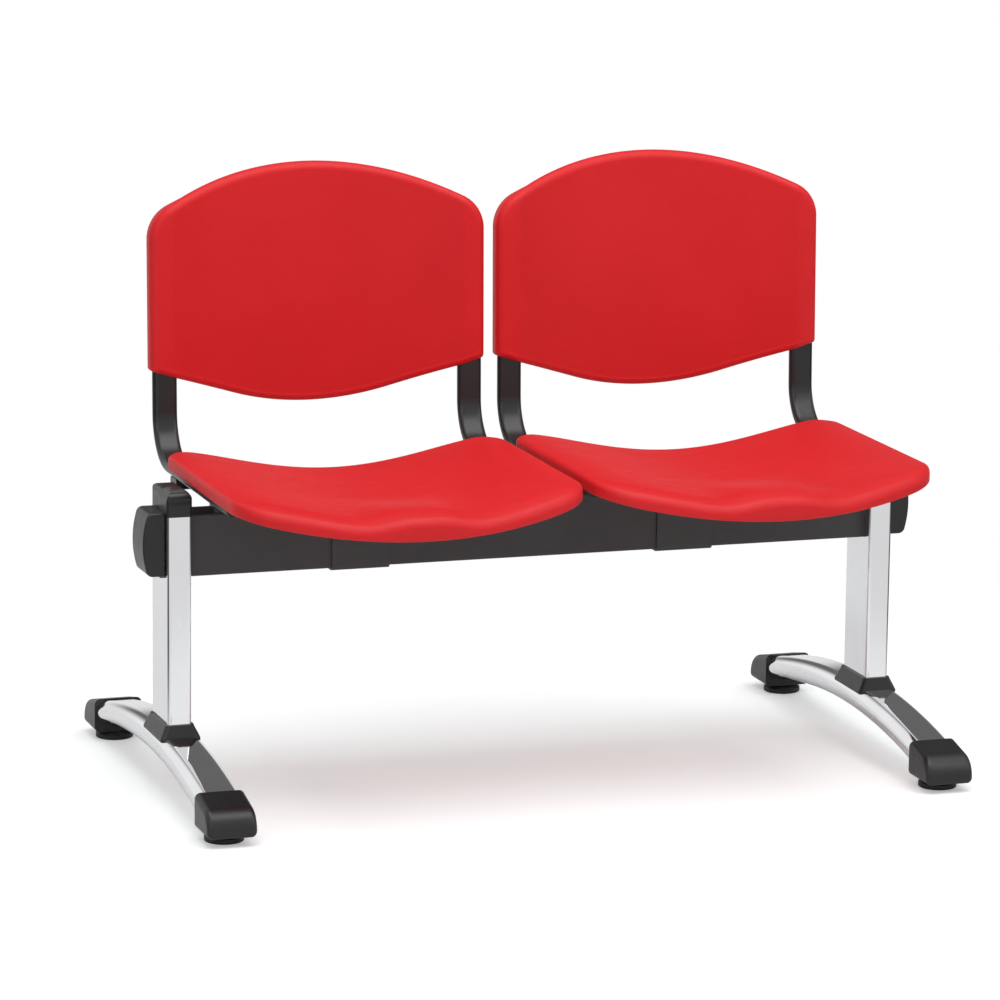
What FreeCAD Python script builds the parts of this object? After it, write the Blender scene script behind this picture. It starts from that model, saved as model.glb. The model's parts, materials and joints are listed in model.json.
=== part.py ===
import FreeCAD, Part
import math
import os
from FreeCAD import Placement, Rotation, Vector

# Beam seating for two: plastic seats and backs on steel frames, clamped to a rectangular beam
# that two chromed columns carry on arched feet with levelling glides.
# Millimetres. X runs along the beam, the seats face -Y, and Z = 0 is the floor.
# The origin lies on the floor, under the centre of the whole object's box.

# Beam and its end caps
BEAM_OVERHANG = 21.5
BEAM_HEIGHT = 84.5
BEAM_DEPTH = 50.0
BEAM_WALL = 2.5
BEAM_CORNER = 4.0
BEAM_TOP = 380.0
END_CAP_REACH = 25.0
END_CAP_BULGE = 7.0
END_CAP_LAP = 3.7
END_CAP_STEP = 4.0
END_CAP_RISE = 4.0
END_CAP_SHORT = 3.0
END_CAP_PLUG = 14.0
END_CAP_WALL = 3.0
END_CAP_EDGE = 3.0
END_CAP_CORNER = 9.0

# Columns and their caps
COLUMN_CLEARANCE = 20.0
COLUMN_WIDTH = 33.0
COLUMN_DEPTH = 83.0
COLUMN_WALL = 2.0
COLUMN_CORNER = 5.0
CAP_DOME_HEIGHT = 37.0
CAP_DOME_DEPTH = 46.0
CAP_DOME_CROWN = 17.0
CAP_DOME_BROW = 23.0
CAP_BLOCK_HEIGHT = 32.0
CAP_BLOCK_EDGE = 8.0
CAP_OVERHANG = 1.0
CAP_PLUG = 14.0
CAP_POCKET_GAP = 1.5
COLUMN_PLATE = 6.0
BEAM_BOLT_SPACING = 28.0

# Feet
FOOT_SETBACK = 25.0
FOOT_WIDTH = 62.0
FOOT_THICKNESS = 34.0
FOOT_WALL = 2.0
FOOT_RADIUS = 1200.0
FOOT_END_HEIGHT = 34.6
FOOT_BOLT_SPACING = 56.0
COLLAR_HEIGHT = 21.0
COLLAR_FLARE_WIDE = 11.0
COLLAR_FLARE_DEEP = 8.0
COLLAR_CORNER = 7.0
COLLAR_WALL = 3.0
COLLAR_LAP = 7.0
COLLAR_LIP = 2.0
COLLAR_SPREAD = 0.5

# Boots on the ends of the feet, and the levelling glides under them
GLIDE_SPACING = 568.0
BOOT_BOTTOM = 12.0
BOOT_WALL = 2.5
BOOT_NOSE = 45.0
BOOT_MOUTH = 21.0
BOOT_NOSE_RADIUS = 30.0
BOOT_EDGE = 8.0
BOOT_TOE_RADIUS = 5.0
FOOT_END = 12.0
GLIDE_RADIUS = 26.0
GLIDE_TOP_RADIUS = 23.0
GLIDE_HEIGHT = 9.2
GLIDE_FLOOR = 3.0
GLIDE_EDGE = 1.0
STEM_RADIUS = 5.0
STEM_TOP = 44.0
STEM_HEX = 17.0
STEM_HEX_HEIGHT = 4.0
RECESS_RADIUS = 15.0
RECESS_HEIGHT = 2.0
BUSH_RADIUS = 8.0
BUSH_TOP = 40.0

# Chairs
SEAT_GAP = 15.0
TUBE_INSET = 21.5
TUBE_WIDTH = 34.0
TUBE_THICKNESS = 15.0
TUBE_WALL = 1.5
TUBE_BEND_RADIUS = 65.0
TUBE_RISE = 29.0
TUBE_FRONT = 196.0
UPRIGHT_SETBACK = 175.0
UPRIGHT_TOP = 705.0
UPRIGHT_LEAN = 1.7
PLUG_HEAD = 3.0
PLUG_EDGE = 1.2
PLUG_DEPTH = 14.0
FRONT_RAIL_DEPTH = 25.0
FRONT_RAIL_HEIGHT = 20.0
RAIL_WALL = 2.0
RAIL_EAR = 5.0
RAIL_EAR_GAP = 2.0
REAR_RAIL_SETBACK = 80.0
REAR_RAIL_WIDTH = 30.0
REAR_RAIL_THICKNESS = 15.0
REAR_RAIL_WALL = 2.0
REAR_RAIL_EDGE = 4.0
REAR_RAIL_LAP = 13.5
REAR_RAIL_DROP = 6.0
REAR_RAIL_SEAT = 26.0
REAR_RAIL_SLOPE = 20.0

# Clamp that holds a chair on the beam
CLAMP_WIDTH = 80.0
CLAMP_SHIFTS = {"left": 0.0, "right": -30.0}
CLAMP_WALL = 3.0
CLAMP_LEG_GAP = 2.0
CLAMP_FLANGE = 33.0
SADDLE_WALL = 4.0
CLAMP_BOLT_SPACING = 44.0
RAIL_BOLT_RISE = 10.0
RAIL_BOLT_GRIP = 14.0
RAIL_BOLT_INSET = 11.0
RAIL_BOLT_HEIGHT = 8.0
RAIL_BOLT_LENGTH = 12.0
FLANGE_BOLT_REACH = 20.0
BOLT_TAIL = 2.0

# Seat shell, measured from the chair's middle
SEAT_HALF_WIDTH = 237.5
SEAT_REACH = 327.0
SEAT_REAR = 113.0
SEAT_FRONT_BULGE = 56.0
SEAT_REAR_CORNER = 42.0
SEAT_FRONT_CORNER = 72.0
SEAT_SIDE_RISE = 59.0
SEAT_HOLLOW_RISE = 27.0
SEAT_FRONT_RISE = 32.0
SEAT_HOLLOW_END = 110.0
SEAT_CREST_INSET = 42.0
SEAT_FRONT_FALL = 9.0
SEAT_FLARE = 1.6
SEAT_LEVEL_EDGE = 19.5
POMMEL_RISE = 15.0
POMMEL_SPREAD = 62.0
SURFACE_MARGIN = 8.0
SURFACE_COLUMNS = 25
SURFACE_ROWS = 23
SEAT_SKIN = 4.0
SEAT_RIM_WALL = 4.5
SEAT_RIM_LIFT = 11.5
SEAT_RIM_SAG = 29.5
SEAT_EDGE_RADIUS = 6.5
SEAT_BOSS_RADIUS = 7.0
SEAT_BOSS_FRONT = 160.0
SEAT_BOSS_REAR = 35.0
SEAT_SCREW_GRIP = 7.5
SEAT_TUBE_GAP = 1.0

# Back shell, measured from the chair's middle and the uprights
BACK_INSET = 1.0
BACK_TOP = 808.0
BACK_BOTTOM = 480.0
BACK_CORNER_RISE = 57.0
BACK_TOP_RADIUS = 465.0
BACK_SHOULDER = 50.0
BACK_BOTTOM_RADIUS = 365.0
BACK_CORNER = 6.0
BACK_HOLLOW = 40.0
BACK_PLAN_RADIUS = 440.0
BACK_SKIN = 5.0
BACK_RIM = 4.5
BACK_RIM_DEPTH = 14.0
SLEEVE_WALL = 3.5
SLEEVE_CLEARANCE = 0.5
SLEEVE_END = 3.0
BACK_SCREW_LOW = 590.0
BACK_SCREW_HIGH = 670.0

# Fasteners
M8_RADIUS = 4.0
M8_HEX = 13.0
M8_HEAD = 5.5
M8_NUT = 6.5
M6_RADIUS = 3.0
M6_HEX = 10.0
M6_HEAD = 4.0
SCREW_RADIUS = 2.5
SCREW_HEAD_RADIUS = 5.5
SCREW_HEAD = 3.5
SCREW_HEAD_EDGE = 1.5

# Clearances
FIT = 0.2
RUNNING_FIT = 0.05
STEM_GAP = 0.35

# Derived places
SEAT_PITCH = 2 * SEAT_HALF_WIDTH + SEAT_GAP
BACK_HALF_WIDTH = SEAT_HALF_WIDTH - BACK_INSET
TUBE_HALF_SPACING = SEAT_HALF_WIDTH - TUBE_INSET
COLUMN_X = SEAT_PITCH / 2 + TUBE_HALF_SPACING + TUBE_WIDTH / 2 + COLUMN_CLEARANCE
BEAM_HALF_LENGTH = COLUMN_X + BEAM_OVERHANG
BEAM_BOTTOM = BEAM_TOP - BEAM_HEIGHT
BEAM_Y = (SEAT_REACH - (FOOT_SETBACK + GLIDE_SPACING / 2 + BOOT_NOSE)) / 2
FOOT_Y = BEAM_Y + FOOT_SETBACK
UPRIGHT_Y = BEAM_Y + UPRIGHT_SETBACK
TUBE_BOTTOM = BEAM_TOP + TUBE_RISE
TUBE_TOP = TUBE_BOTTOM + TUBE_THICKNESS
TUBE_Z = TUBE_BOTTOM + TUBE_THICKNESS / 2
TUBE_FRONT_Y = BEAM_Y - TUBE_FRONT
BEND_Y = UPRIGHT_Y - TUBE_BEND_RADIUS
REAR_RAIL_Y = BEAM_Y + REAR_RAIL_SETBACK
SADDLE_TOP = TUBE_BOTTOM - REAR_RAIL_THICKNESS - REAR_RAIL_DROP
SADDLE_BOTTOM = SADDLE_TOP - SADDLE_WALL
RAIL_FRONT_Y = BEAM_Y - BEAM_DEPTH / 2
RAIL_REAR_Y = RAIL_FRONT_Y + FRONT_RAIL_DEPTH
RAIL_TOP = BEAM_TOP + FRONT_RAIL_HEIGHT
FLANGE_BOLT_Y = BEAM_Y + BEAM_DEPTH / 2 + FLANGE_BOLT_REACH
SEAT_FRONT_Y = BEAM_Y - SEAT_REACH
SEAT_CORNER_Y = SEAT_FRONT_Y + SEAT_FRONT_BULGE
SEAT_REAR_Y = BEAM_Y + SEAT_REAR
SEAT_BOW_RADIUS = (SEAT_HALF_WIDTH ** 2 + SEAT_FRONT_BULGE ** 2) / (2 * SEAT_FRONT_BULGE)
FOOT_ARC_Z = FOOT_END_HEIGHT - math.sqrt(FOOT_RADIUS ** 2 - (GLIDE_SPACING / 2) ** 2)
FOOT_CREST = FOOT_ARC_Z + FOOT_RADIUS
SIDES = {"left": -1, "right": 1}
ENDS = {"front": -1, "rear": 1}

nodes = {}


def box(x0, x1, y0, y1, z0, z1):
    return Part.makeBox(x1 - x0, y1 - y0, z1 - z0, Vector(x0, y0, z0))


def cylinder(radius, x, y, z0, z1):
    return Part.makeCylinder(radius, z1 - z0, Vector(x, y, z0))


def hexagon(across, x, y, z0, z1):
    corner = across / math.sqrt(3)
    points = []
    for i in range(7):
        angle = math.radians(60 * i)
        points.append(Vector(x + corner * math.cos(angle), y + corner * math.sin(angle), z0))
    return Part.Face(Part.makePolygon(points)).extrude(Vector(0, 0, z1 - z0))


def arc_edge(start, middle, end):
    return Part.Arc(start, middle, end).toShape()


def flat_oval(width, depth):
    """A face in the XY plane: two half rounds joined by straight sides, width along X."""
    radius = min(width, depth) / 2
    run = abs(width - depth) / 2
    wide = width > depth
    turn = Rotation(Vector(0, 0, 1), 0 if wide else 90)

    def at(x, y):
        return turn.multVec(Vector(x, y, 0))
    edges = [
        Part.makeLine(at(-run, -radius), at(run, -radius)),
        arc_edge(at(run, -radius), at(run + radius, 0), at(run, radius)),
        Part.makeLine(at(run, radius), at(-run, radius)),
        arc_edge(at(-run, radius), at(-run - radius, 0), at(-run, -radius)),
    ]
    return Part.Face(Part.Wire(edges))


def rounded_post(width, depth, radius, x, y, z0, z1):
    """An upright bar of rounded rectangular section about x, y."""
    return rounded_box(x - width / 2, x + width / 2, y - depth / 2, y + depth / 2, z0, z1, radius,
                       Vector(0, 0, 1))


def prism(face, x, y, z0, z1):
    body = face.extrude(Vector(0, 0, z1 - z0))
    body.translate(Vector(x, y, z0))
    return body


def rounded_box(x0, x1, y0, y1, z0, z1, radius, axis):
    """A box whose four edges along one axis are rounded."""
    body = box(x0, x1, y0, y1, z0, z1)
    along = [edge for edge in body.Edges if abs(abs(edge.tangentAt(0).dot(axis)) - 1) < 1e-6]
    return body.makeFillet(radius, along)


def vaulted(x0, x1, y0, y1, z0, z1, corner, crown, brow):
    """An upright rounded block whose top is arched across X with the crown and across Y with the brow."""
    body = rounded_box(x0, x1, y0, y1, z0, z1, corner, Vector(0, 0, 1))
    body = body.common(rounded_box(x0, x1, y0, y1, z0 - 2 * crown, z1, crown, Vector(0, 1, 0)))
    return body.common(rounded_box(x0, x1, y0, y1, z0 - 2 * brow, z1, brow, Vector(1, 0, 0)))


def turned(shape, x, y, angle):
    """The shape turned about the vertical line through x, y."""
    copy = shape.copy()
    copy.rotate(Vector(x, y, 0), Vector(0, 0, 1), angle)
    return copy


def mirrored_x(shape):
    return shape.mirror(Vector(0, 0, 0), Vector(1, 0, 0))


def save(name, shape):
    nodes[name] = shape


def make_beam():
    """The beam: a rectangular steel tube with bolt holes over each column and under each clamp."""
    half_depth = BEAM_DEPTH / 2
    axis = Vector(1, 0, 0)
    outer = rounded_box(-BEAM_HALF_LENGTH, BEAM_HALF_LENGTH, BEAM_Y - half_depth, BEAM_Y + half_depth,
                        BEAM_BOTTOM, BEAM_TOP, BEAM_CORNER, axis)
    inner = rounded_box(-BEAM_HALF_LENGTH, BEAM_HALF_LENGTH, BEAM_Y - half_depth + BEAM_WALL,
                        BEAM_Y + half_depth - BEAM_WALL, BEAM_BOTTOM + BEAM_WALL, BEAM_TOP - BEAM_WALL,
                        BEAM_CORNER - BEAM_WALL, axis)
    beam = outer.cut(inner)
    for side in SIDES.values():
        for step in (-0.5, 0.5):
            y = BEAM_Y + step * BEAM_BOLT_SPACING
            beam = beam.cut(cylinder(M8_RADIUS + FIT, side * COLUMN_X, y, BEAM_BOTTOM - 1, BEAM_TOP + 1))
    save("beam", beam)


def hex_bolt(radius, across, head, x, y, seat_z, length, up):
    """A bolt whose head rests at seat_z and whose shank runs up or down from there."""
    if up:
        shape = hexagon(across, x, y, seat_z - head, seat_z)
        shank = cylinder(radius, x, y, seat_z, seat_z + length)
    else:
        shape = hexagon(across, x, y, seat_z, seat_z + head)
        shank = cylinder(radius, x, y, seat_z - length, seat_z)
    return shape.fuse(shank).removeSplitter()


def make_end_cap():
    """The right-hand end cap: a moulding with a bowed end face that laps and plugs the beam."""
    inner_x = BEAM_HALF_LENGTH - END_CAP_LAP
    edge_x = BEAM_HALF_LENGTH + END_CAP_REACH - END_CAP_BULGE
    tip_x = BEAM_HALF_LENGTH + END_CAP_REACH
    half = BEAM_DEPTH / 2 + END_CAP_STEP
    y = BEAM_Y - half
    z0 = BEAM_BOTTOM + END_CAP_SHORT
    z1 = BEAM_TOP + END_CAP_RISE
    profile = Part.Wire([
        Part.makeLine(Vector(inner_x, y, z0), Vector(edge_x, y, z0)),
        arc_edge(Vector(edge_x, y, z0), Vector(tip_x, y, (z0 + z1) / 2), Vector(edge_x, y, z1)),
        Part.makeLine(Vector(edge_x, y, z1), Vector(inner_x, y, z1)),
        Part.makeLine(Vector(inner_x, y, z1), Vector(inner_x, y, z0)),
    ])
    body = Part.Face(profile).extrude(Vector(0, 2 * half, 0))
    corners = [edge for edge in body.Edges
               if edge.BoundBox.XMin > edge_x - 1 and edge.BoundBox.YLength > half]
    body = body.makeFillet(END_CAP_CORNER, corners)
    rim = [edge for edge in body.Edges if edge.BoundBox.XMax > inner_x + 1 and edge.BoundBox.YLength < 1]
    body = body.makeFillet(END_CAP_EDGE, rim)
    lap = box(inner_x - 1, BEAM_HALF_LENGTH, BEAM_Y - BEAM_DEPTH / 2 - FIT, BEAM_Y + BEAM_DEPTH / 2 + FIT,
              BEAM_BOTTOM - FIT, BEAM_TOP + FIT)
    body = body.cut(lap)
    half_plug = BEAM_DEPTH / 2 - BEAM_WALL - FIT
    plug = box(BEAM_HALF_LENGTH - END_CAP_PLUG, BEAM_HALF_LENGTH, BEAM_Y - half_plug, BEAM_Y + half_plug,
               BEAM_BOTTOM + BEAM_WALL + FIT, BEAM_TOP - BEAM_WALL - FIT)
    half_core = half_plug - END_CAP_WALL
    core = box(BEAM_HALF_LENGTH - END_CAP_PLUG - 1, BEAM_HALF_LENGTH + END_CAP_PLUG,
               BEAM_Y - half_core, BEAM_Y + half_core,
               BEAM_BOTTOM + BEAM_WALL + END_CAP_WALL, BEAM_TOP - BEAM_WALL - END_CAP_WALL)
    return body.fuse(plug).cut(core).removeSplitter()


def foot_solid(width, thickness, reach):
    """A flat oval swept along the arch of the foot, reach being its half length along Y."""
    centre = Vector(0, FOOT_Y, FOOT_ARC_Z)
    face = flat_oval(width, thickness)
    face.rotate(Vector(0, 0, 0), Vector(1, 0, 0), 90)
    face.translate(Vector(0, FOOT_Y, FOOT_CREST))
    angle = math.degrees(math.asin(reach / FOOT_RADIUS))
    face.rotate(centre, Vector(1, 0, 0), -angle)
    return face.revolve(centre, Vector(1, 0, 0), 2 * angle)


def foot_height(distance):
    """The height of the foot's middle line at a distance from its crest."""
    return FOOT_ARC_Z + math.sqrt(FOOT_RADIUS ** 2 - distance ** 2)


def make_leg(name, side):
    """One column with its fixings, its collar and its foot."""
    x = side * COLUMN_X
    reach = GLIDE_SPACING / 2 + FOOT_END
    envelope = foot_solid(FOOT_WIDTH, FOOT_THICKNESS, reach)
    envelope.translate(Vector(x, 0, 0))
    bore = foot_solid(FOOT_WIDTH - 2 * FOOT_WALL, FOOT_THICKNESS - 2 * FOOT_WALL, reach)
    bore.translate(Vector(x, 0, 0))
    foot = envelope.cut(bore)
    bolt_ys = [BEAM_Y + step * FOOT_BOLT_SPACING for step in (-0.5, 0.5)]
    foot_low = FOOT_CREST - FOOT_THICKNESS
    for y in bolt_ys:
        foot = foot.cut(cylinder(M8_RADIUS + FIT, x, y, foot_low, FOOT_CREST + FOOT_THICKNESS))
    for end in ENDS.values():
        glide_y = FOOT_Y + end * GLIDE_SPACING / 2
        foot = foot.cut(cylinder(BUSH_RADIUS + FIT, x, glide_y, 0, foot_height(GLIDE_SPACING / 2)))
    save("foot_" + name, foot)

    half_notch = BEAM_DEPTH / 2 + FIT
    notch = box(x - COLUMN_WIDTH, x + COLUMN_WIDTH, BEAM_Y - half_notch, BEAM_Y + half_notch,
                BEAM_BOTTOM, BEAM_TOP + 1)
    column = rounded_post(COLUMN_WIDTH, COLUMN_DEPTH, COLUMN_CORNER, x, BEAM_Y, FOOT_CREST, BEAM_TOP)

    def filling(z0, z1):
        return rounded_post(COLUMN_WIDTH - 2 * COLUMN_WALL, COLUMN_DEPTH - 2 * COLUMN_WALL,
                            COLUMN_CORNER - COLUMN_WALL, x, BEAM_Y, z0, z1)
    save("column_" + name, column.cut(filling(FOOT_CREST, BEAM_TOP)).cut(notch).cut(envelope))

    top_plate = filling(BEAM_BOTTOM - COLUMN_PLATE, BEAM_BOTTOM)
    for step in (-0.5, 0.5):
        top_plate = top_plate.cut(cylinder(M8_RADIUS, x, BEAM_Y + step * BEAM_BOLT_SPACING,
                                           BEAM_BOTTOM - COLUMN_PLATE, BEAM_BOTTOM))
    save("column_top_plate_" + name, top_plate)
    foot_top = FOOT_CREST + FOOT_THICKNESS / 2
    base_plate = filling(FOOT_CREST, foot_top + 2 * COLUMN_PLATE).cut(envelope)
    for y in bolt_ys:
        base_plate = base_plate.cut(cylinder(M8_RADIUS, x, y, FOOT_CREST, foot_top + 3 * COLUMN_PLATE))
    save("column_base_plate_" + name, base_plate)

    bolts = [hex_bolt(M8_RADIUS, M8_HEX, M8_HEAD, x, BEAM_Y + step * BEAM_BOLT_SPACING,
                      BEAM_TOP, BEAM_HEIGHT + COLUMN_PLATE, False) for step in (-0.5, 0.5)]
    save("beam_bolts_" + name, Part.makeCompound(bolts))
    foot_bolts = []
    for y in bolt_ys:
        seat_z = foot_height(y - FOOT_Y) - FOOT_THICKNESS / 2 - FIT
        length = FOOT_THICKNESS + 2 * COLUMN_PLATE
        foot_bolts.append(hex_bolt(M8_RADIUS, M8_HEX, M8_HEAD, x, y, seat_z, length, True))
    save("foot_bolts_" + name, Part.makeCompound(foot_bolts))

    make_column_cap(name, x)
    make_collar(name, x, envelope)
    for end_name, end in ENDS.items():
        make_boot(end_name + "_" + name, x, end)


def make_column_cap(name, x):
    """The cap over the beam and the notched column: a domed front on a lower block."""
    half = COLUMN_WIDTH / 2
    front = BEAM_Y - COLUMN_DEPTH / 2
    rear = BEAM_Y + COLUMN_DEPTH / 2
    cap = vaulted(x - half, x + half, front, rear, BEAM_TOP, BEAM_TOP + CAP_BLOCK_HEIGHT,
                  COLUMN_CORNER, CAP_BLOCK_EDGE, CAP_BLOCK_EDGE)
    cap = cap.fuse(vaulted(x - half - CAP_OVERHANG, x + half + CAP_OVERHANG, front - CAP_OVERHANG,
                           front + CAP_DOME_DEPTH, BEAM_TOP, BEAM_TOP + CAP_DOME_HEIGHT,
                           COLUMN_CORNER + CAP_OVERHANG, CAP_DOME_CROWN, CAP_DOME_BROW))
    shrink = 2 * COLUMN_WALL + 2 * FIT
    plug = rounded_post(COLUMN_WIDTH - shrink, COLUMN_DEPTH - shrink, COLUMN_CORNER - COLUMN_WALL - FIT,
                        x, BEAM_Y, BEAM_TOP - CAP_PLUG, BEAM_TOP)
    gap = BEAM_DEPTH / 2 + FIT
    plug = plug.cut(box(x - half, x + half, BEAM_Y - gap, BEAM_Y + gap, BEAM_BOTTOM, BEAM_TOP))
    pocket_half = M8_HEX / 2 + CAP_POCKET_GAP
    pocket_reach = BEAM_BOLT_SPACING / 2 + pocket_half
    pocket = box(x - pocket_half, x + pocket_half, BEAM_Y - pocket_reach, BEAM_Y + pocket_reach,
                 BEAM_TOP, BEAM_TOP + M8_HEAD + CAP_POCKET_GAP)
    save("column_cap_" + name, cap.fuse(plug).cut(pocket).removeSplitter())


def rounded_rectangle(width, depth, radius, x, y, z):
    """The outline of a rounded rectangle about x, y at a height."""
    post = rounded_post(width, depth, radius, x, y, z, z + 1)
    bottom = [face for face in post.Faces if face.BoundBox.ZMax < z + FIT]
    return bottom[0].OuterWire


def make_collar(name, x, envelope):
    """The flared collar that hides the joint of the column and the arched foot."""
    foot_top = FOOT_CREST + FOOT_THICKNESS / 2
    low = foot_top - COLLAR_LAP
    brim = low + COLLAR_LAP / 2
    high = foot_top + COLLAR_HEIGHT - COLLAR_LAP

    def ring(wide, deep, z):
        return rounded_rectangle(COLUMN_WIDTH + 2 * wide, COLUMN_DEPTH + 2 * deep, COLLAR_CORNER,
                                 x, BEAM_Y, z)
    lip = COLLAR_WALL + COLLAR_SPREAD
    stages = [
        ring(COLLAR_FLARE_WIDE, COLLAR_FLARE_DEEP, low),
        ring(COLLAR_FLARE_WIDE, COLLAR_FLARE_DEEP, brim),
        ring(lip, lip, high - COLLAR_LIP),
        ring(COLLAR_WALL, COLLAR_WALL, high),
    ]
    collar = Part.makeLoft(stages[:2], True, True)
    for below, above in zip(stages[1:], stages[2:]):
        collar = collar.fuse(Part.makeLoft([below, above], True, True))
    core = rounded_post(COLUMN_WIDTH + 2 * FIT, COLUMN_DEPTH + 2 * FIT, COLUMN_CORNER + FIT, x, BEAM_Y,
                        low - COLLAR_LAP, high + COLLAR_LAP)
    save("collar_" + name, collar.cut(core).cut(envelope).removeSplitter())


def boot_profile():
    """The boot's side outline in the YZ plane, nose towards -Y, glide centre at y = 0."""
    mouth = BOOT_MOUTH
    mouth_top = foot_height(GLIDE_SPACING / 2 - mouth) + FOOT_THICKNESS / 2 + BOOT_WALL
    radius = BOOT_NOSE_RADIUS
    toe = BOOT_TOE_RADIUS
    crown_top = foot_height(GLIDE_SPACING / 2 + BOOT_NOSE - radius) + FOOT_THICKNESS / 2 + BOOT_WALL
    nose_y = -BOOT_NOSE
    slope = math.atan2(mouth_top - crown_top, mouth + BOOT_NOSE - radius)
    centre = Vector(0, nose_y + radius, crown_top - radius)
    arc_start = centre + Vector(0, radius * math.sin(-slope), radius * math.cos(slope))
    half_turn = (math.pi / 2 - slope) / 2 + slope
    arc_middle = centre + Vector(0, -radius * math.sin(half_turn), radius * math.cos(half_turn))
    arc_end = centre + Vector(0, -radius, 0)
    toe_centre = Vector(0, nose_y + toe, BOOT_BOTTOM + toe)
    diagonal = toe * math.sqrt(0.5)
    edges = [
        Part.makeLine(Vector(0, mouth, mouth_top), arc_start),
        arc_edge(arc_start, arc_middle, arc_end),
        Part.makeLine(arc_end, toe_centre + Vector(0, -toe, 0)),
        arc_edge(toe_centre + Vector(0, -toe, 0), toe_centre + Vector(0, -diagonal, -diagonal),
                 toe_centre + Vector(0, 0, -toe)),
        Part.makeLine(toe_centre + Vector(0, 0, -toe), Vector(0, mouth, BOOT_BOTTOM)),
        Part.makeLine(Vector(0, mouth, BOOT_BOTTOM), Vector(0, mouth, mouth_top)),
    ]
    return Part.Wire(edges)


def make_boot(name, x, end):
    """A boot on one end of a foot with its threaded bush, levelling stem and swivelling glide."""
    glide_y = FOOT_Y + end * GLIDE_SPACING / 2
    half = FOOT_WIDTH / 2 + BOOT_WALL
    body = Part.Face(boot_profile()).extrude(Vector(2 * half, 0, 0))
    body.translate(Vector(-half, 0, 0))
    rim = [edge for edge in body.Edges
           if abs(edge.BoundBox.XLength) < 1e-3 and edge.BoundBox.YMin < BOOT_MOUTH - 1]
    body = body.makeFillet(BOOT_EDGE, rim)
    if end > 0:
        body = turned(body, 0, 0, 180)
    body.translate(Vector(x, glide_y, 0))
    cavity = foot_solid(FOOT_WIDTH + 2 * FIT, FOOT_THICKNESS + 2 * FIT, GLIDE_SPACING / 2 + FOOT_END + FIT)
    cavity.translate(Vector(x, 0, 0))
    body = body.cut(cavity)
    body = body.cut(cylinder(RECESS_RADIUS, x, glide_y, BOOT_BOTTOM, BOOT_BOTTOM + RECESS_HEIGHT))
    body = body.cut(cylinder(BUSH_RADIUS, x, glide_y, BOOT_BOTTOM, foot_height(GLIDE_SPACING / 2)))
    save("boot_" + name, body)

    bush = cylinder(BUSH_RADIUS, x, glide_y, BOOT_BOTTOM + RECESS_HEIGHT, BUSH_TOP)
    save("leveller_bush_" + name, bush.cut(cylinder(STEM_RADIUS + RUNNING_FIT, x, glide_y, 0, BUSH_TOP)))

    bottom = GLIDE_FLOOR + STEM_GAP
    stem = cylinder(STEM_RADIUS, x, glide_y, bottom, STEM_TOP)
    hex_bottom = GLIDE_HEIGHT + STEM_GAP
    stem = stem.fuse(hexagon(STEM_HEX, x, glide_y, hex_bottom, hex_bottom + STEM_HEX_HEIGHT))
    save("leveller_stem_" + name, stem.removeSplitter())

    shoulder = GLIDE_HEIGHT - (GLIDE_RADIUS - GLIDE_TOP_RADIUS)
    outline = [(0, 0), (GLIDE_RADIUS - GLIDE_EDGE, 0), (GLIDE_RADIUS, GLIDE_EDGE), (GLIDE_RADIUS, shoulder),
               (GLIDE_TOP_RADIUS, GLIDE_HEIGHT), (0, GLIDE_HEIGHT), (0, 0)]
    face = Part.Face(Part.makePolygon([Vector(r, 0, z) for r, z in outline]))
    glide = face.revolve(Vector(0, 0, 0), Vector(0, 0, 1), 360)
    glide.translate(Vector(x, glide_y, 0))
    glide = glide.cut(cylinder(STEM_RADIUS + RUNNING_FIT, x, glide_y, GLIDE_FLOOR, GLIDE_HEIGHT))
    save("leveller_glide_" + name, glide)


def side_tube(width, thickness, x):
    """A flat oval tube: level under the seat, bent up behind it into the back."""
    face = flat_oval(width, thickness)
    face.rotate(Vector(0, 0, 0), Vector(1, 0, 0), 90)
    run = face.copy()
    run.translate(Vector(x, TUBE_FRONT_Y, TUBE_Z))
    straight = run.extrude(Vector(0, BEND_Y - TUBE_FRONT_Y, 0))
    centre = Vector(x, BEND_Y, TUBE_Z + TUBE_BEND_RADIUS)
    bend_face = face.copy()
    bend_face.translate(Vector(x, BEND_Y, TUBE_Z))
    turn = 90 - UPRIGHT_LEAN
    bend = bend_face.revolve(centre, Vector(1, 0, 0), turn)
    top_face = bend_face.copy()
    top_face.rotate(centre, Vector(1, 0, 0), turn)
    lean = math.radians(UPRIGHT_LEAN)
    rise = (UPRIGHT_TOP - centre.z) / math.cos(lean)
    upright = top_face.extrude(Vector(0, rise * math.sin(lean), rise * math.cos(lean)))
    return straight.fuse([bend, upright]).removeSplitter()


def upright_foot():
    """Where the leaning part of a side tube begins, on its middle line."""
    lean = math.radians(UPRIGHT_LEAN)
    y = BEND_Y + TUBE_BEND_RADIUS * math.cos(lean)
    z = TUBE_Z + TUBE_BEND_RADIUS * (1 - math.sin(lean))
    return y, z


def lean_back(shape):
    """Stands a shape built on the uprights' middle line in its place, leaning as they do."""
    y, z = upright_foot()
    copy = shape.copy()
    copy.translate(Vector(0, 0, -z))
    copy.rotate(Vector(0, 0, 0), Vector(1, 0, 0), -UPRIGHT_LEAN)
    copy.translate(Vector(0, y, z))
    return copy


def front_edge(x):
    """Where the bowed front edge of the seat lies at a distance from the chair's middle line."""
    return SEAT_FRONT_Y + SEAT_BOW_RADIUS - math.sqrt(SEAT_BOW_RADIUS ** 2 - x ** 2)


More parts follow.
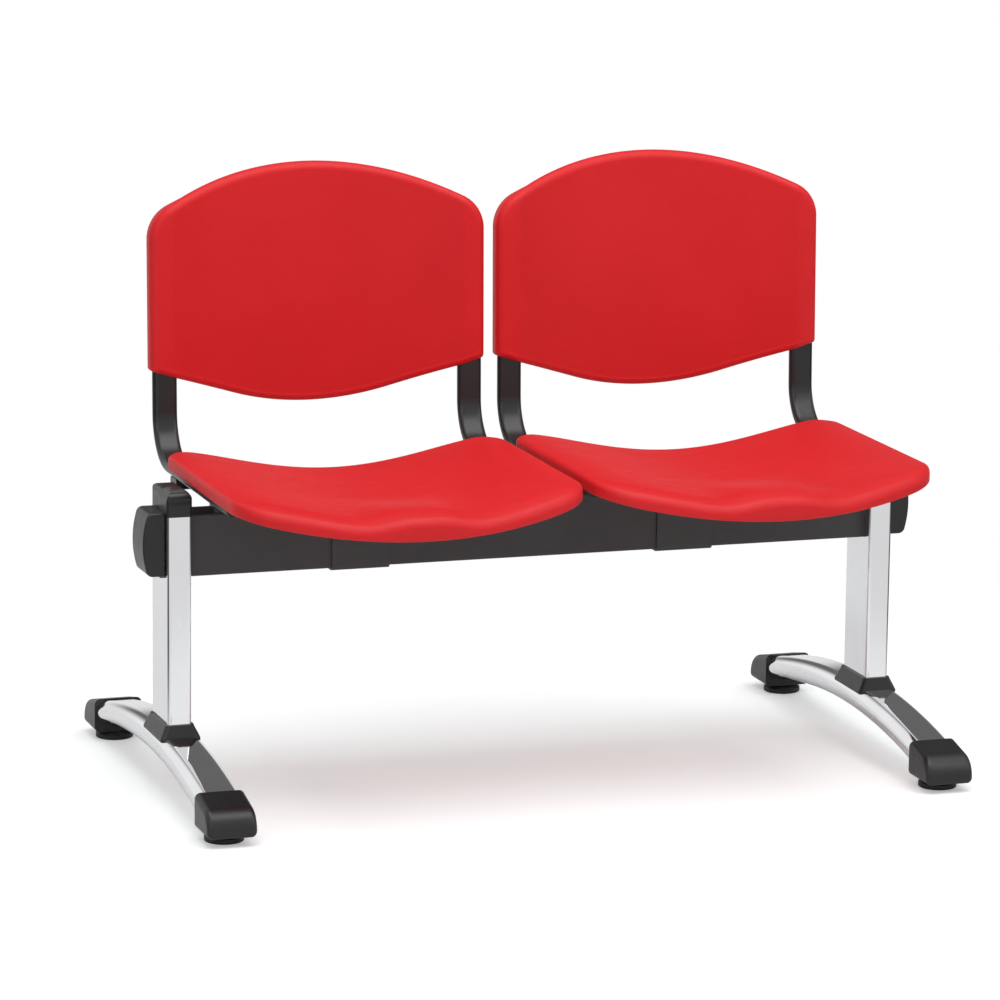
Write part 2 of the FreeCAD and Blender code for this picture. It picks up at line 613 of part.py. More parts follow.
def seat_top(x, y):
    """The height of the seat's top at a place measured from the chair's middle line."""
    across = min(abs(x) / (SEAT_HALF_WIDTH - SEAT_LEVEL_EDGE), 1.0)
    flare = 1 - (1 - across ** 2) ** SEAT_FLARE
    side = BEAM_TOP + SEAT_SIDE_RISE
    hollow = BEAM_TOP + SEAT_HOLLOW_RISE
    crest = BEAM_TOP + SEAT_FRONT_RISE + POMMEL_RISE * math.exp(-abs(x / POMMEL_SPREAD) ** 3)
    start = BEAM_Y - SEAT_HOLLOW_END
    finish = front_edge(x) + SEAT_CREST_INSET
    along = min(max((y - start) / (finish - start), 0.0), 1.0)
    blend = along * along * (3 - 2 * along)
    beyond = max(finish - y, 0.0) / SEAT_CREST_INSET
    middle = hollow + (crest - hollow) * blend
    return middle + (side - middle) * flare - SEAT_FRONT_FALL * beyond ** 2


def height_field(drop):
    """The seat's top surface lowered by a drop, over a plan rather larger than the seat."""
    span_x = 2 * (SEAT_HALF_WIDTH + SURFACE_MARGIN)
    y0 = SEAT_FRONT_Y - SURFACE_MARGIN
    span_y = SEAT_REAR_Y + SURFACE_MARGIN - y0
    grid = []
    for i in range(SURFACE_COLUMNS):
        x = -span_x / 2 + span_x * i / (SURFACE_COLUMNS - 1)
        ys = [y0 + span_y * j / (SURFACE_ROWS - 1) for j in range(SURFACE_ROWS)]
        grid.append([Vector(x, y, seat_top(x, y) - drop) for y in ys])
    surface = Part.BSplineSurface()
    surface.interpolate(grid)
    return surface.toShape()


def seat_plan(inset):
    """A prism on the seat's plan: straight sides and rear, rounded corners and a bowed front."""
    half = SEAT_HALF_WIDTH - inset
    rear = SEAT_REAR_Y - inset
    front = SEAT_FRONT_Y + inset
    corner = SEAT_CORNER_Y + inset
    edges = [
        arc_edge(Vector(-half, corner, 0), Vector(0, front, 0), Vector(half, corner, 0)),
        Part.makeLine(Vector(half, corner, 0), Vector(half, rear, 0)),
        Part.makeLine(Vector(half, rear, 0), Vector(-half, rear, 0)),
        Part.makeLine(Vector(-half, rear, 0), Vector(-half, corner, 0)),
    ]
    block = Part.Face(Part.Wire(edges)).extrude(Vector(0, 0, 2 * BEAM_TOP))

    def upright_edges(y):
        return [edge for edge in block.Edges
                if edge.BoundBox.ZLength > BEAM_TOP and abs(edge.BoundBox.Center.y - y) < 1]
    block = block.makeFillet(SEAT_REAR_CORNER - inset, upright_edges(rear))
    return block.makeFillet(SEAT_FRONT_CORNER - inset, upright_edges(corner))


def arch(half_width, low, sag, y0, y1):
    """The block under a shallow arch across X that is lowest in the middle."""
    radius = (half_width ** 2 + sag ** 2) / (2 * sag)
    return Part.makeCylinder(radius, y1 - y0, Vector(0, y0, low + radius), Vector(0, 1, 0))


def seat_screw_places():
    return [(x, y) for x in (-TUBE_HALF_SPACING, TUBE_HALF_SPACING)
            for y in (BEAM_Y - SEAT_BOSS_FRONT, BEAM_Y + SEAT_BOSS_REAR)]


def make_seat_shell():
    """The seat: a dished skin with a turned-down rim, a raised front middle and four screw bosses."""
    depth = Vector(0, 0, -BEAM_TOP / 2)
    outer = seat_plan(0).common(height_field(0).extrude(depth))
    lowest_top = BEAM_TOP + SEAT_HOLLOW_RISE - SEAT_SKIN
    rim = [edge for edge in outer.Edges
           if edge.BoundBox.ZMin > lowest_top and edge.BoundBox.DiagonalLength > SEAT_SKIN]
    outer = outer.makeFillet(SEAT_EDGE_RADIUS, rim)
    inner = seat_plan(SEAT_RIM_WALL).common(height_field(SEAT_SKIN).extrude(depth))
    shell = outer.cut(inner)
    kept = arch(SEAT_HALF_WIDTH, BEAM_TOP + SEAT_RIM_LIFT, SEAT_RIM_SAG, SEAT_FRONT_Y - 1, SEAT_REAR_Y + 1)
    shell = shell.common(kept)
    for x in (-TUBE_HALF_SPACING, TUBE_HALF_SPACING):
        shell = shell.cut(side_tube(TUBE_WIDTH + 2 * SEAT_TUBE_GAP, TUBE_THICKNESS + 2 * SEAT_TUBE_GAP, x))
    for x, y in seat_screw_places():
        shell = shell.fuse(cylinder(SEAT_BOSS_RADIUS, x, y, TUBE_TOP, seat_top(x, y) - SEAT_SKIN / 2))
    for x, y in seat_screw_places():
        shell = shell.cut(cylinder(SCREW_RADIUS, x, y, TUBE_TOP, TUBE_TOP + SEAT_SCREW_GRIP))
    return shell.removeSplitter()


def back_outline(inset, depth):
    """A prism along Y on the back's outline: arched top, rounded shoulders and a shallow V below."""
    half = BACK_HALF_WIDTH - inset
    top_radius = BACK_TOP_RADIUS - inset
    top_centre = BACK_TOP - BACK_TOP_RADIUS
    shoulder = top_centre + math.sqrt(top_radius ** 2 - half ** 2)
    low_radius = BACK_BOTTOM_RADIUS - inset
    low_centre = BACK_BOTTOM + BACK_BOTTOM_RADIUS
    corner_drop = BACK_BOTTOM_RADIUS - BACK_CORNER_RISE
    across = math.hypot(BACK_HALF_WIDTH, corner_drop)
    corner_angle = math.atan2(BACK_HALF_WIDTH, corner_drop)
    angle = corner_angle - math.acos(BACK_BOTTOM_RADIUS / across)
    turn_x = low_radius * math.sin(angle)
    turn_z = low_centre - low_radius * math.cos(angle)
    corner = turn_z + (half - turn_x) * math.tan(angle)
    y = -depth

    def at(x, z):
        return Vector(x, y, z)
    edges = [
        arc_edge(at(-half, shoulder), at(0, top_centre + top_radius), at(half, shoulder)),
        Part.makeLine(at(half, shoulder), at(half, corner)),
        Part.makeLine(at(half, corner), at(turn_x, turn_z)),
        arc_edge(at(turn_x, turn_z), at(0, low_centre - low_radius), at(-turn_x, turn_z)),
        Part.makeLine(at(-turn_x, turn_z), at(-half, corner)),
        Part.makeLine(at(-half, corner), at(-half, shoulder)),
    ]
    block = Part.Face(Part.Wire(edges)).extrude(Vector(0, 2 * depth, 0))

    def corners(z):
        return [edge for edge in block.Edges
                if edge.BoundBox.YLength > depth and abs(edge.BoundBox.Center.z - z) < 1
                and abs(abs(edge.BoundBox.Center.x) - half) < 1]
    block = block.makeFillet(BACK_SHOULDER - inset, corners(shoulder))
    return block.makeFillet(BACK_CORNER - inset / 2, corners(corner))


def back_band(skin, reach):
    """A curved upright plate, hollow towards the sitter, as wide as reach each side."""
    centre = Vector(0, BACK_HOLLOW - BACK_PLAN_RADIUS, 0)
    front = Part.makeCylinder(BACK_PLAN_RADIUS, BACK_TOP, centre)
    rear = Part.makeCylinder(BACK_PLAN_RADIUS + skin, BACK_TOP, centre)
    return rear.cut(front).common(box(-reach, reach, -BACK_PLAN_RADIUS, BACK_PLAN_RADIUS, 0, BACK_TOP))


def make_back_shell():
    """The back: a curved skin with a turned-back rim and a hollow sleeve over each upright."""
    depth = BACK_PLAN_RADIUS / 2
    sleeve_width = 2 * (BACK_HALF_WIDTH - TUBE_HALF_SPACING)
    sleeve_depth = TUBE_THICKNESS + 2 * (SLEEVE_WALL + SLEEVE_CLEARANCE)
    outline = back_outline(0, depth)
    skin = back_band(BACK_SKIN, TUBE_HALF_SPACING - TUBE_WIDTH / 2 + BACK_SKIN)
    for side in SIDES.values():
        x = side * TUBE_HALF_SPACING
        skin = skin.fuse(prism(flat_oval(sleeve_width, sleeve_depth), x, 0, 0, BACK_TOP))
    shell = skin.common(outline)
    rim = back_band(BACK_RIM_DEPTH, TUBE_HALF_SPACING - TUBE_WIDTH / 2)
    rim = rim.common(outline.cut(back_outline(BACK_RIM, depth)))
    shell = shell.fuse(rim)
    for side in SIDES.values():
        x = side * TUBE_HALF_SPACING
        bore = flat_oval(TUBE_WIDTH + 2 * SLEEVE_CLEARANCE, TUBE_THICKNESS + 2 * SLEEVE_CLEARANCE)
        shell = shell.cut(prism(bore, x, 0, 0, UPRIGHT_TOP + SLEEVE_END))
        for z in (BACK_SCREW_LOW, BACK_SCREW_HIGH):
            hole = Part.makeCylinder(SCREW_RADIUS + FIT, sleeve_depth, Vector(x, 0, z), Vector(0, 1, 0))
            shell = shell.cut(hole)
    return lean_back(shell.removeSplitter())


def pan_screw(length):
    """A pan-head screw with its head below Z = 0 and its shank up along Z."""
    head = Part.makeCylinder(SCREW_HEAD_RADIUS, SCREW_HEAD, Vector(0, 0, -SCREW_HEAD))
    rim = [edge for edge in head.Edges if edge.BoundBox.ZMax < -SCREW_HEAD / 2]
    head = head.makeFillet(SCREW_HEAD_EDGE, rim)
    return head.fuse(Part.makeCylinder(SCREW_RADIUS, length)).removeSplitter()


def make_side_tube(x):
    """One side tube of a chair's frame, drilled for the seat's and the back's screws."""
    tube = side_tube(TUBE_WIDTH, TUBE_THICKNESS, x)
    tube = tube.cut(side_tube(TUBE_WIDTH - 2 * TUBE_WALL, TUBE_THICKNESS - 2 * TUBE_WALL, x))
    for place_x, y in seat_screw_places():
        if place_x * x > 0:
            tube = tube.cut(cylinder(SCREW_RADIUS + FIT, x, y, TUBE_BOTTOM - 1, TUBE_TOP + 1))
    for z in (BACK_SCREW_LOW, BACK_SCREW_HIGH):
        hole = Part.makeCylinder(SCREW_RADIUS + FIT, TUBE_THICKNESS, Vector(x, 0, z), Vector(0, 1, 0))
        tube = tube.cut(lean_back(hole))
    return tube


def make_tube_plug(x):
    """A plastic plug in the front end of a side tube."""
    def stub(width, thickness, y0, y1):
        face = flat_oval(width, thickness)
        face.rotate(Vector(0, 0, 0), Vector(1, 0, 0), 90)
        face.translate(Vector(x, y0, TUBE_Z))
        return face.extrude(Vector(0, y1 - y0, 0))
    head = stub(TUBE_WIDTH, TUBE_THICKNESS, TUBE_FRONT_Y - PLUG_HEAD, TUBE_FRONT_Y)
    rim = [edge for edge in head.Edges if edge.BoundBox.YMax < TUBE_FRONT_Y - PLUG_HEAD / 2]
    head = head.makeFillet(PLUG_EDGE, rim)
    shrink = 2 * TUBE_WALL + 2 * FIT
    plug = stub(TUBE_WIDTH - shrink, TUBE_THICKNESS - shrink, TUBE_FRONT_Y, TUBE_FRONT_Y + PLUG_DEPTH)
    return head.fuse(plug).removeSplitter()


def make_front_rail():
    """The box rail across the side tubes, standing on the beam, with an upright plate at each end."""
    half = TUBE_HALF_SPACING - TUBE_WIDTH / 2 + RAIL_EAR / 2
    rail = box(-half, half, RAIL_FRONT_Y, RAIL_REAR_Y, BEAM_TOP, RAIL_TOP)
    core = box(-half + RAIL_EAR, half - RAIL_EAR, RAIL_FRONT_Y + RAIL_WALL, RAIL_REAR_Y - RAIL_WALL,
               BEAM_TOP + RAIL_WALL, RAIL_TOP - RAIL_WALL)
    rail = rail.cut(core)
    for side in SIDES.values():
        inner = side * (half - RAIL_EAR)
        outer = side * half
        rail = rail.fuse(box(min(inner, outer), max(inner, outer), RAIL_FRONT_Y, RAIL_REAR_Y,
                             BEAM_TOP, TUBE_TOP - RAIL_EAR_GAP))
        rail = rail.cut(side_tube(TUBE_WIDTH, TUBE_THICKNESS, side * TUBE_HALF_SPACING))
    for x, z in rail_bolt_places():
        hole = Part.makeCylinder(M6_RADIUS, RAIL_WALL, Vector(x, RAIL_FRONT_Y, z), Vector(0, 1, 0))
        rail = rail.cut(hole)
    return rail.removeSplitter()


def rail_bolt_places():
    x = TUBE_HALF_SPACING - TUBE_WIDTH / 2 - RAIL_BOLT_INSET
    return [(-x, BEAM_TOP + RAIL_BOLT_HEIGHT), (x, BEAM_TOP + RAIL_BOLT_HEIGHT)]


def make_rear_rail():
    """The flat tube behind the beam: closed ends under the side tubes, the middle cranked down."""
    def layer(shrink, y0, y1):
        end = TUBE_HALF_SPACING + REAR_RAIL_LAP - shrink
        seat = TUBE_HALF_SPACING + REAR_RAIL_LAP - REAR_RAIL_SEAT
        low = seat - REAR_RAIL_SLOPE
        high = TUBE_BOTTOM - shrink
        top = [(end, high), (seat, high), (low, high - REAR_RAIL_DROP)]
        top = top + [(-x, z) for x, z in reversed(top)]
        bottom = [(x, z - REAR_RAIL_THICKNESS + 2 * shrink) for x, z in reversed(top)]
        outline = [Vector(x, y0, z) for x, z in top + bottom + top[:1]]
        return Part.Face(Part.makePolygon(outline)).extrude(Vector(0, y1 - y0, 0))
    front = REAR_RAIL_Y - REAR_RAIL_WIDTH / 2
    rear = REAR_RAIL_Y + REAR_RAIL_WIDTH / 2
    outer = layer(0, front, rear)
    along = [edge for edge in outer.Edges if edge.BoundBox.YLength < 1 and edge.BoundBox.XLength > 1]
    outer = outer.makeFillet(REAR_RAIL_EDGE, along)
    return outer.cut(layer(REAR_RAIL_WALL, front + REAR_RAIL_WALL, rear - REAR_RAIL_WALL))


def clamp_bolt_xs(shift):
    return [shift - CLAMP_BOLT_SPACING / 2, shift + CLAMP_BOLT_SPACING / 2]


def make_saddle(shift):
    """The plate from the front rail to under the rear rail, which the clamp pulls down."""
    half = CLAMP_WIDTH / 2
    plate = box(shift - half, shift + half, RAIL_REAR_Y, REAR_RAIL_Y + REAR_RAIL_WIDTH / 2,
                SADDLE_BOTTOM, SADDLE_TOP)
    for x in clamp_bolt_xs(shift):
        plate = plate.cut(cylinder(M8_RADIUS + FIT, x, FLANGE_BOLT_Y, SADDLE_BOTTOM, SADDLE_TOP))
    return plate


def make_clamp(shift):
    """The steel band round the beam: front leg on the front rail, rear leg flanged under the saddle."""
    x0 = shift - CLAMP_WIDTH / 2
    x1 = shift + CLAMP_WIDTH / 2
    front = BEAM_Y - BEAM_DEPTH / 2
    rear = BEAM_Y + BEAM_DEPTH / 2
    axis = Vector(1, 0, 0)
    outer = rounded_box(x0, x1, front - CLAMP_WALL, rear + CLAMP_WALL, BEAM_BOTTOM - CLAMP_WALL,
                        BEAM_TOP + BEAM_HEIGHT, BEAM_CORNER + CLAMP_WALL, axis)
    inner = rounded_box(x0, x1, front, rear, BEAM_BOTTOM, BEAM_TOP + 2 * BEAM_HEIGHT, BEAM_CORNER, axis)
    band = outer.cut(inner)
    band = band.cut(box(x0, x1, front - CLAMP_WALL, BEAM_Y, RAIL_TOP - CLAMP_LEG_GAP, 2 * BEAM_TOP))
    band = band.cut(box(x0, x1, BEAM_Y, rear + CLAMP_WALL, SADDLE_BOTTOM, 2 * BEAM_TOP))
    band = band.fuse(box(x0, x1, rear, rear + CLAMP_FLANGE, SADDLE_BOTTOM - CLAMP_WALL, SADDLE_BOTTOM))
    for x in clamp_bolt_xs(shift):
        start = Vector(x, front - CLAMP_WALL, BEAM_TOP + RAIL_BOLT_RISE)
        band = band.cut(Part.makeCylinder(M8_RADIUS + FIT, CLAMP_WALL, start, Vector(0, 1, 0)))
        band = band.cut(cylinder(M8_RADIUS + FIT, x, FLANGE_BOLT_Y, SADDLE_BOTTOM - CLAMP_WALL,
                                 SADDLE_BOTTOM))
    return band.removeSplitter()


def bolt_and_nut(grip):
    """A hexagon bolt with its head below Z = 0, and its nut above the grip."""
    bolt = hex_bolt(M8_RADIUS, M8_HEX, M8_HEAD, 0, 0, 0, grip + M8_NUT + BOLT_TAIL, True)
    nut = hexagon(M8_HEX, 0, 0, grip, grip + M8_NUT).cut(cylinder(M8_RADIUS, 0, 0, grip, grip + M8_NUT))
    return [bolt, nut]


def along_y(shape, x, y, z):
    """A fastener drawn up along Z, laid along +Y with its head's seat at a place."""
    copy = shape.copy()
    copy.rotate(Vector(0, 0, 0), Vector(1, 0, 0), -90)
    copy.translate(Vector(x, y, z))
    return copy


def make_clamp_bolts(shift):
    """The bolts that close one clamp: two along Y into the rail, two upright in the flange with nuts."""
    solids = []
    for x in clamp_bolt_xs(shift):
        bolt = hex_bolt(M8_RADIUS, M8_HEX, M8_HEAD, 0, 0, 0, RAIL_BOLT_GRIP, True)
        solids.append(along_y(bolt, x, RAIL_FRONT_Y - CLAMP_WALL, BEAM_TOP + RAIL_BOLT_RISE))
        for piece in bolt_and_nut(CLAMP_WALL + SADDLE_WALL):
            piece.translate(Vector(x, FLANGE_BOLT_Y, SADDLE_BOTTOM - CLAMP_WALL))
            solids.append(piece)
    return solids


def make_rail_bolts():
    bolt = hex_bolt(M6_RADIUS, M6_HEX, M6_HEAD, 0, 0, 0, RAIL_BOLT_LENGTH, True)
    return [along_y(bolt, x, RAIL_FRONT_Y, z) for x, z in rail_bolt_places()]


def make_seat_screws():
    solids = []
    for x, y in seat_screw_places():
        screw = pan_screw(TUBE_THICKNESS + SEAT_SCREW_GRIP - FIT)
        screw.translate(Vector(x, y, TUBE_BOTTOM))
        solids.append(screw)
    return solids


def make_back_screws():
    """Screws through the sleeves' rear walls into the uprights."""
    solids = []
    rear = TUBE_THICKNESS / 2 + SLEEVE_WALL + SLEEVE_CLEARANCE
    for x in (-TUBE_HALF_SPACING, TUBE_HALF_SPACING):
        for z in (BACK_SCREW_LOW, BACK_SCREW_HIGH):
            screw = pan_screw(SLEEVE_WALL + SLEEVE_CLEARANCE + 2 * TUBE_WALL)
            screw.rotate(Vector(0, 0, 0), Vector(1, 0, 0), 90)
            screw.translate(Vector(x, rear, z))
            solids.append(lean_back(screw))
    return solids


def rail_for_clamp(rail, shift):
    """The front rail tapped in its front wall for the clamp's bolts."""
    for x in clamp_bolt_xs(shift):
        start = Vector(x, RAIL_FRONT_Y, BEAM_TOP + RAIL_BOLT_RISE)
        rail = rail.cut(Part.makeCylinder(M8_RADIUS, RAIL_WALL, start, Vector(0, 1, 0)))
    return rail


def make_chairs():
    """Both chairs, each from the same pieces; only the clamp stands elsewhere on the beam."""
    shared = {
        "seat_shell": make_seat_shell(),
        "back_shell": make_back_shell(),
        "side_tube_left": make_side_tube(-TUBE_HALF_SPACING),
        "side_tube_right": make_side_tube(TUBE_HALF_SPACING),
        "rear_rail": make_rear_rail(),
    }
    rail = make_front_rail()
    fasteners = {
        "tube_plugs": [make_tube_plug(-TUBE_HALF_SPACING), make_tube_plug(TUBE_HALF_SPACING)],
        "rail_bolts": make_rail_bolts(),
        "seat_screws": make_seat_screws(),
        "back_screws": make_back_screws(),
    }
    groups = {name: [] for name in list(fasteners) + ["clamp_bolts"]}
    for chair, side in SIDES.items():
        shift = CLAMP_SHIFTS[chair]
        pieces = dict(shared)
        pieces["front_rail"] = rail_for_clamp(rail, shift)
        pieces["saddle_plate"] = make_saddle(shift)
        pieces["beam_clamp"] = make_clamp(shift)
        move = Vector(side * SEAT_PITCH / 2, 0, 0)
        for name, shape in pieces.items():
            save(chair + "_" + name, shape.translated(move))
        for name, solids in list(fasteners.items()) + [("clamp_bolts", make_clamp_bolts(shift))]:
            groups[name] += [solid.translated(move) for solid in solids]
    for name, solids in groups.items():
        save(name, Part.makeCompound(solids))


os.makedirs("parts", exist_ok=True)
make_beam()
cap_right = make_end_cap()
save("end_cap_right", cap_right)
save("end_cap_left", mirrored_x(cap_right))
for side_name, side_sign in SIDES.items():
    make_leg(side_name, side_sign)
make_chairs()
for node_name, node_shape in nodes.items():
    node_shape.exportStep("parts/" + node_name + ".step")
    print(node_name, node_shape.isValid(), len(node_shape.Solids), round(node_shape.Volume, 1))
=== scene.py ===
import json
import math

import bpy
import numpy as np
from mathutils import Matrix, Vector


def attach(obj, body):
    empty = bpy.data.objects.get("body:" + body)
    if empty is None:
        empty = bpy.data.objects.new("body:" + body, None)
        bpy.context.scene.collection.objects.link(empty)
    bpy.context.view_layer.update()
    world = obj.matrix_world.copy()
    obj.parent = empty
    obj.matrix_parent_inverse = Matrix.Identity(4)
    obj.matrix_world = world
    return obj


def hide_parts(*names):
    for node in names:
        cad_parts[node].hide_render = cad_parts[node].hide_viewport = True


# The look of the beam seating, in metres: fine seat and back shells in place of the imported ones, the
# materials of every piece, a pale studio floor, soft lights and a camera at the photograph's angle.

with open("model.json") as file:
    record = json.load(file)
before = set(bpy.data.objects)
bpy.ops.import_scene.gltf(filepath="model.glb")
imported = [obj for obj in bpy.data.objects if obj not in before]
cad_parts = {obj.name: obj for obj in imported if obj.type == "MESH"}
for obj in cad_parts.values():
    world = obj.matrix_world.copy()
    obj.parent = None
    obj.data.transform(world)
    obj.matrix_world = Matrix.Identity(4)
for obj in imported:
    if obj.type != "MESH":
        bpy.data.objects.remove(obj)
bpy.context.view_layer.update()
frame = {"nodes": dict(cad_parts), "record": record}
nodes = frame["nodes"]

SIDES = {"left": -1, "right": 1}

# The beam and the side tubes that the shells stand on, measured from the chair's middle
BEAM_Y = -0.0135
BEAM_TOP = 0.380
SEAT_HALF = 0.2375
TUBE_HALF_SPACING = SEAT_HALF - 0.0215
TUBE_HALF_WIDTH = 0.017
TUBE_THICKNESS = 0.015
TUBE_Z = BEAM_TOP + 0.029 + TUBE_THICKNESS / 2
TUBE_TOP = TUBE_Z + TUBE_THICKNESS / 2
TUBE_BEND_RADIUS = 0.065
BEND_Y = BEAM_Y + 0.175 - TUBE_BEND_RADIUS
UPRIGHT_LEAN = math.radians(1.7)
UPRIGHT_FOOT_Y = BEND_Y + TUBE_BEND_RADIUS * math.cos(UPRIGHT_LEAN)
UPRIGHT_FOOT_Z = TUBE_Z + TUBE_BEND_RADIUS * (1 - math.sin(UPRIGHT_LEAN))

# Seat shell: plan
SEAT_PITCH = 2 * SEAT_HALF + 0.015
SEAT_FRONT_Y = BEAM_Y - 0.327
SEAT_REAR_Y = BEAM_Y + 0.113
SEAT_MIDDLE_Y = (SEAT_FRONT_Y + SEAT_REAR_Y) / 2
SEAT_FRONT_BULGE = 0.056
SEAT_BOW_RADIUS = (SEAT_HALF ** 2 + SEAT_FRONT_BULGE ** 2) / (2 * SEAT_FRONT_BULGE)
SEAT_REAR_CORNER = 0.042
SEAT_FRONT_CORNER = 0.072

# Seat shell: heights of its top over the beam, and how the hollow runs into the sides and the front
SEAT_SIDE_RISE = 0.059
SEAT_HOLLOW_RISE = 0.027
SEAT_FRONT_RISE = 0.032
SEAT_HOLLOW_END = 0.110
SEAT_CREST_INSET = 0.042
SEAT_FRONT_FALL = 0.009
SEAT_FLARE = 1.6
SEAT_LEVEL_EDGE = 0.0195
POMMEL_RISE = 0.015
POMMEL_SPREAD = 0.062

# Seat shell: skin, rolled edge and turned-down rim
SEAT_SKIN = 0.004
SEAT_ROLL = 0.0105
SEAT_ROLL_SIDE = 0.0065
SEAT_RIM_WALL = 0.004
SEAT_RIM_LOW = BEAM_TOP + 0.0115
SEAT_RIM_SAG = 0.0295
SEAT_RIM_CLEAR = 0.0015
NOTCH_SIDE_GAP = 0.0015
NOTCH_TOP_GAP = 0.001

# Back shell, in the uprights' own frame: outline
BACK_HALF = SEAT_HALF - 0.001
BACK_TOP = 0.808
BACK_TOP_RADIUS = 0.465
BACK_SHOULDER = 0.050
BACK_BOTTOM = 0.480
BACK_BOTTOM_RADIUS = 0.365
BACK_CORNER_HEIGHT = BACK_BOTTOM + 0.057
BACK_CORNER = 0.006

# Back shell: curved skin between two sleeves
BACK_HOLLOW = 0.040
BACK_PLAN_RADIUS = 0.440
BACK_SKIN = 0.005
BACK_RIM = 0.0045
BACK_RIM_DEPTH = 0.014
SLEEVE_HALF_DEPTH = TUBE_THICKNESS / 2 + 0.004
SLEEVE_HALF_WIDTH = BACK_HALF - TUBE_HALF_SPACING
SLEEVE_STEP = 0.006
CREASE_SOFTNESS = 0.0010

# Back shell: the edge's roll, wider at the top and full at the sleeves, and the fine lip below
BACK_ROLL = 0.0115
BACK_ROLL_LOW = 0.0055
BACK_ROLL_REACH = SLEEVE_HALF_DEPTH * 1.3
UPPER_FROM = 0.56
UPPER_SPAN = 0.06
SLEEVE_ROLL_FROM = 0.19
SLEEVE_ROLL_SPAN = 0.04
LIP_HEIGHT = 0.0005
LIP_INSET = 0.0072
LIP_WIDTH = 0.0011
LIP_TOP = 0.62
LIP_FADE = 0.03

# How the lower edge of either rim is rounded
RIM_ROUND = 0.001
RIM_ROUND_PART = 0.0003

# How finely the outlines are divided
ON_MIDDLE = 1e-9
EDGE_SPACING = 0.004
LOW_EDGE_SPACING = 0.0035
BOW_POINTS = 56
SEAT_CORNER_POINTS = 22
BACK_LOW_POINTS = 24
BACK_CORNER_POINTS = 12
SHOULDER_POINTS = 30
BACK_TOP_POINTS = 60

# How finely the tops are divided from the edge to the middle
ROLL_RINGS = 11
ROLL_PASSED = 1.15
BAND_END = 0.060
BAND_RINGS = 14
INNER_START = 0.066
INNER_REACH = 0.97
INNER_RINGS = 26

# Where the rims' walls are divided, as shares of their height
SEAT_WALL_SHARES = (0.3, 0.65, 1.0)
BACK_WALL_SHARES = (0.4, 1.0)

# The fillets behind the rims: how far in from the wall, with the seat's depth below its top in skins
# and the back's share of the way from the rim's edge to the rear face
SEAT_FILLET = {0.0: 2.0, 0.001: 1.375, 0.003: 1.05}
BACK_FILLET = {0.0: 0.15, 0.0004: 0.85, 0.0012: 1.0}

# How finely the hidden sides are divided
UNDERSIDE_FIRST = 0.955
UNDERSIDE_LAST = 0.03
UNDERSIDE_RINGS = 24
REAR_BAND_START = 0.010
REAR_BAND_RINGS = 30
REAR_REACH = 0.230
REAR_RINGS = 16

# Materials: the part of a noise's range that is used, then scales per metre and heights in metres
NOISE_LOW = 0.3
NOISE_HIGH = 0.7
PLASTIC_CLOUD = 9.0
PLASTIC_WEAR = 40.0
PLASTIC_SPECULAR = 0.32
GRAIN_CELLS = 620.0
GRAIN_NOISE = 900.0
GRAIN_STRENGTH = 0.12
GRAIN_BUMP = 0.0002
PAINT_CLOUD = 14.0
PAINT_WEAR = 60.0
PAINT_SPECULAR = 0.4
PAINT_BUMP = 0.0003
ROUGHNESS_SPREAD = 0.03
METAL_CLOUD = 12.0
METAL_MARKS = 300.0
METAL_SHADE = 0.96

# Studio: even light, and what mirror-like surfaces see of it, as directions from the object
AMBIENT = 0.45
GROUND_GLOW = 0.84
HORIZON = (0.03, 0.20)
DIM_BEHIND = (0.05, 0.45)
DIM_RIGHT = (-0.25, 0.10)
DIM_BELOW = (0.90, 0.65)
FLAGS_OUTSIDE = (0.74, 0.90)
FLAGS_BELOW = (0.12, -0.05)
DARKNESS = 0.85

# Floor
FLOOR_REACH = 30.0
FLOOR_LEVEL = -0.0002
FLOOR_COLOUR = (0.905, 0.93, 0.93, 1.0)
FLOOR_ROUGHNESS = 0.7
FLOOR_SPECULAR = 0.2
FLOOR_LIFT = 0.31
FLOOR_FADE = (0.5, 1.4)

# Camera, as worked out from the photograph
CAMERA_AZIMUTH = math.radians(-18.69)
CAMERA_ELEVATION = math.radians(11.49)
CAMERA_ROLL = math.radians(-0.70)
CAMERA_TARGET = Vector((-0.0328, 0.0115, 0.3654))
CAMERA_DISTANCE = 6.896
CAMERA_LENS = 183.57
CAMERA_SENSOR = 36.0
CAMERA_SIGHT = 100.0

# What the lamps point at
LAMP_AIM = Vector((0.0, 0.0, 0.4))


def srgb(red, green, blue):
    """A colour given as it looks on a screen, 0 to 255, as linear light."""
    def linear(value):
        share = value / 255
        return share / 12.92 if share <= 0.04045 else ((share + 0.055) / 1.055) ** 2.4
    return (linear(red), linear(green), linear(blue), 1.0)


def new_material(name):
    """A material with its node tree and its main shader."""
    material = bpy.data.materials.new(name)
    material.use_nodes = True
    tree = material.node_tree
    return material, tree, tree.nodes["Principled BSDF"]


def combined(tree, operation, first, second):
    """A math node on two inputs, each a socket or a number."""
    node = tree.nodes.new("ShaderNodeMath")
    node.operation = operation
    for place, value in enumerate((first, second)):
        if isinstance(value, (int, float)):
            node.inputs[place].default_value = value
        else:
            tree.links.new(value, node.inputs[place])
    return node.outputs[0]


def carried(tree, socket, source, target, interpolation="LINEAR"):
    """A socket carried from one range over to another."""
    node = tree.nodes.new("ShaderNodeMapRange")
    node.interpolation_type = interpolation
    for name, value in zip(("From Min", "From Max", "To Min", "To Max"), (*source, *target)):
        node.inputs[name].default_value = value
    tree.links.new(socket, node.inputs["Value"])
    return node.outputs["Result"]


def ranged(tree, noise, low, high):
    """A noise spread out over a range."""
    return carried(tree, noise, (NOISE_LOW, NOISE_HIGH), (low, high))


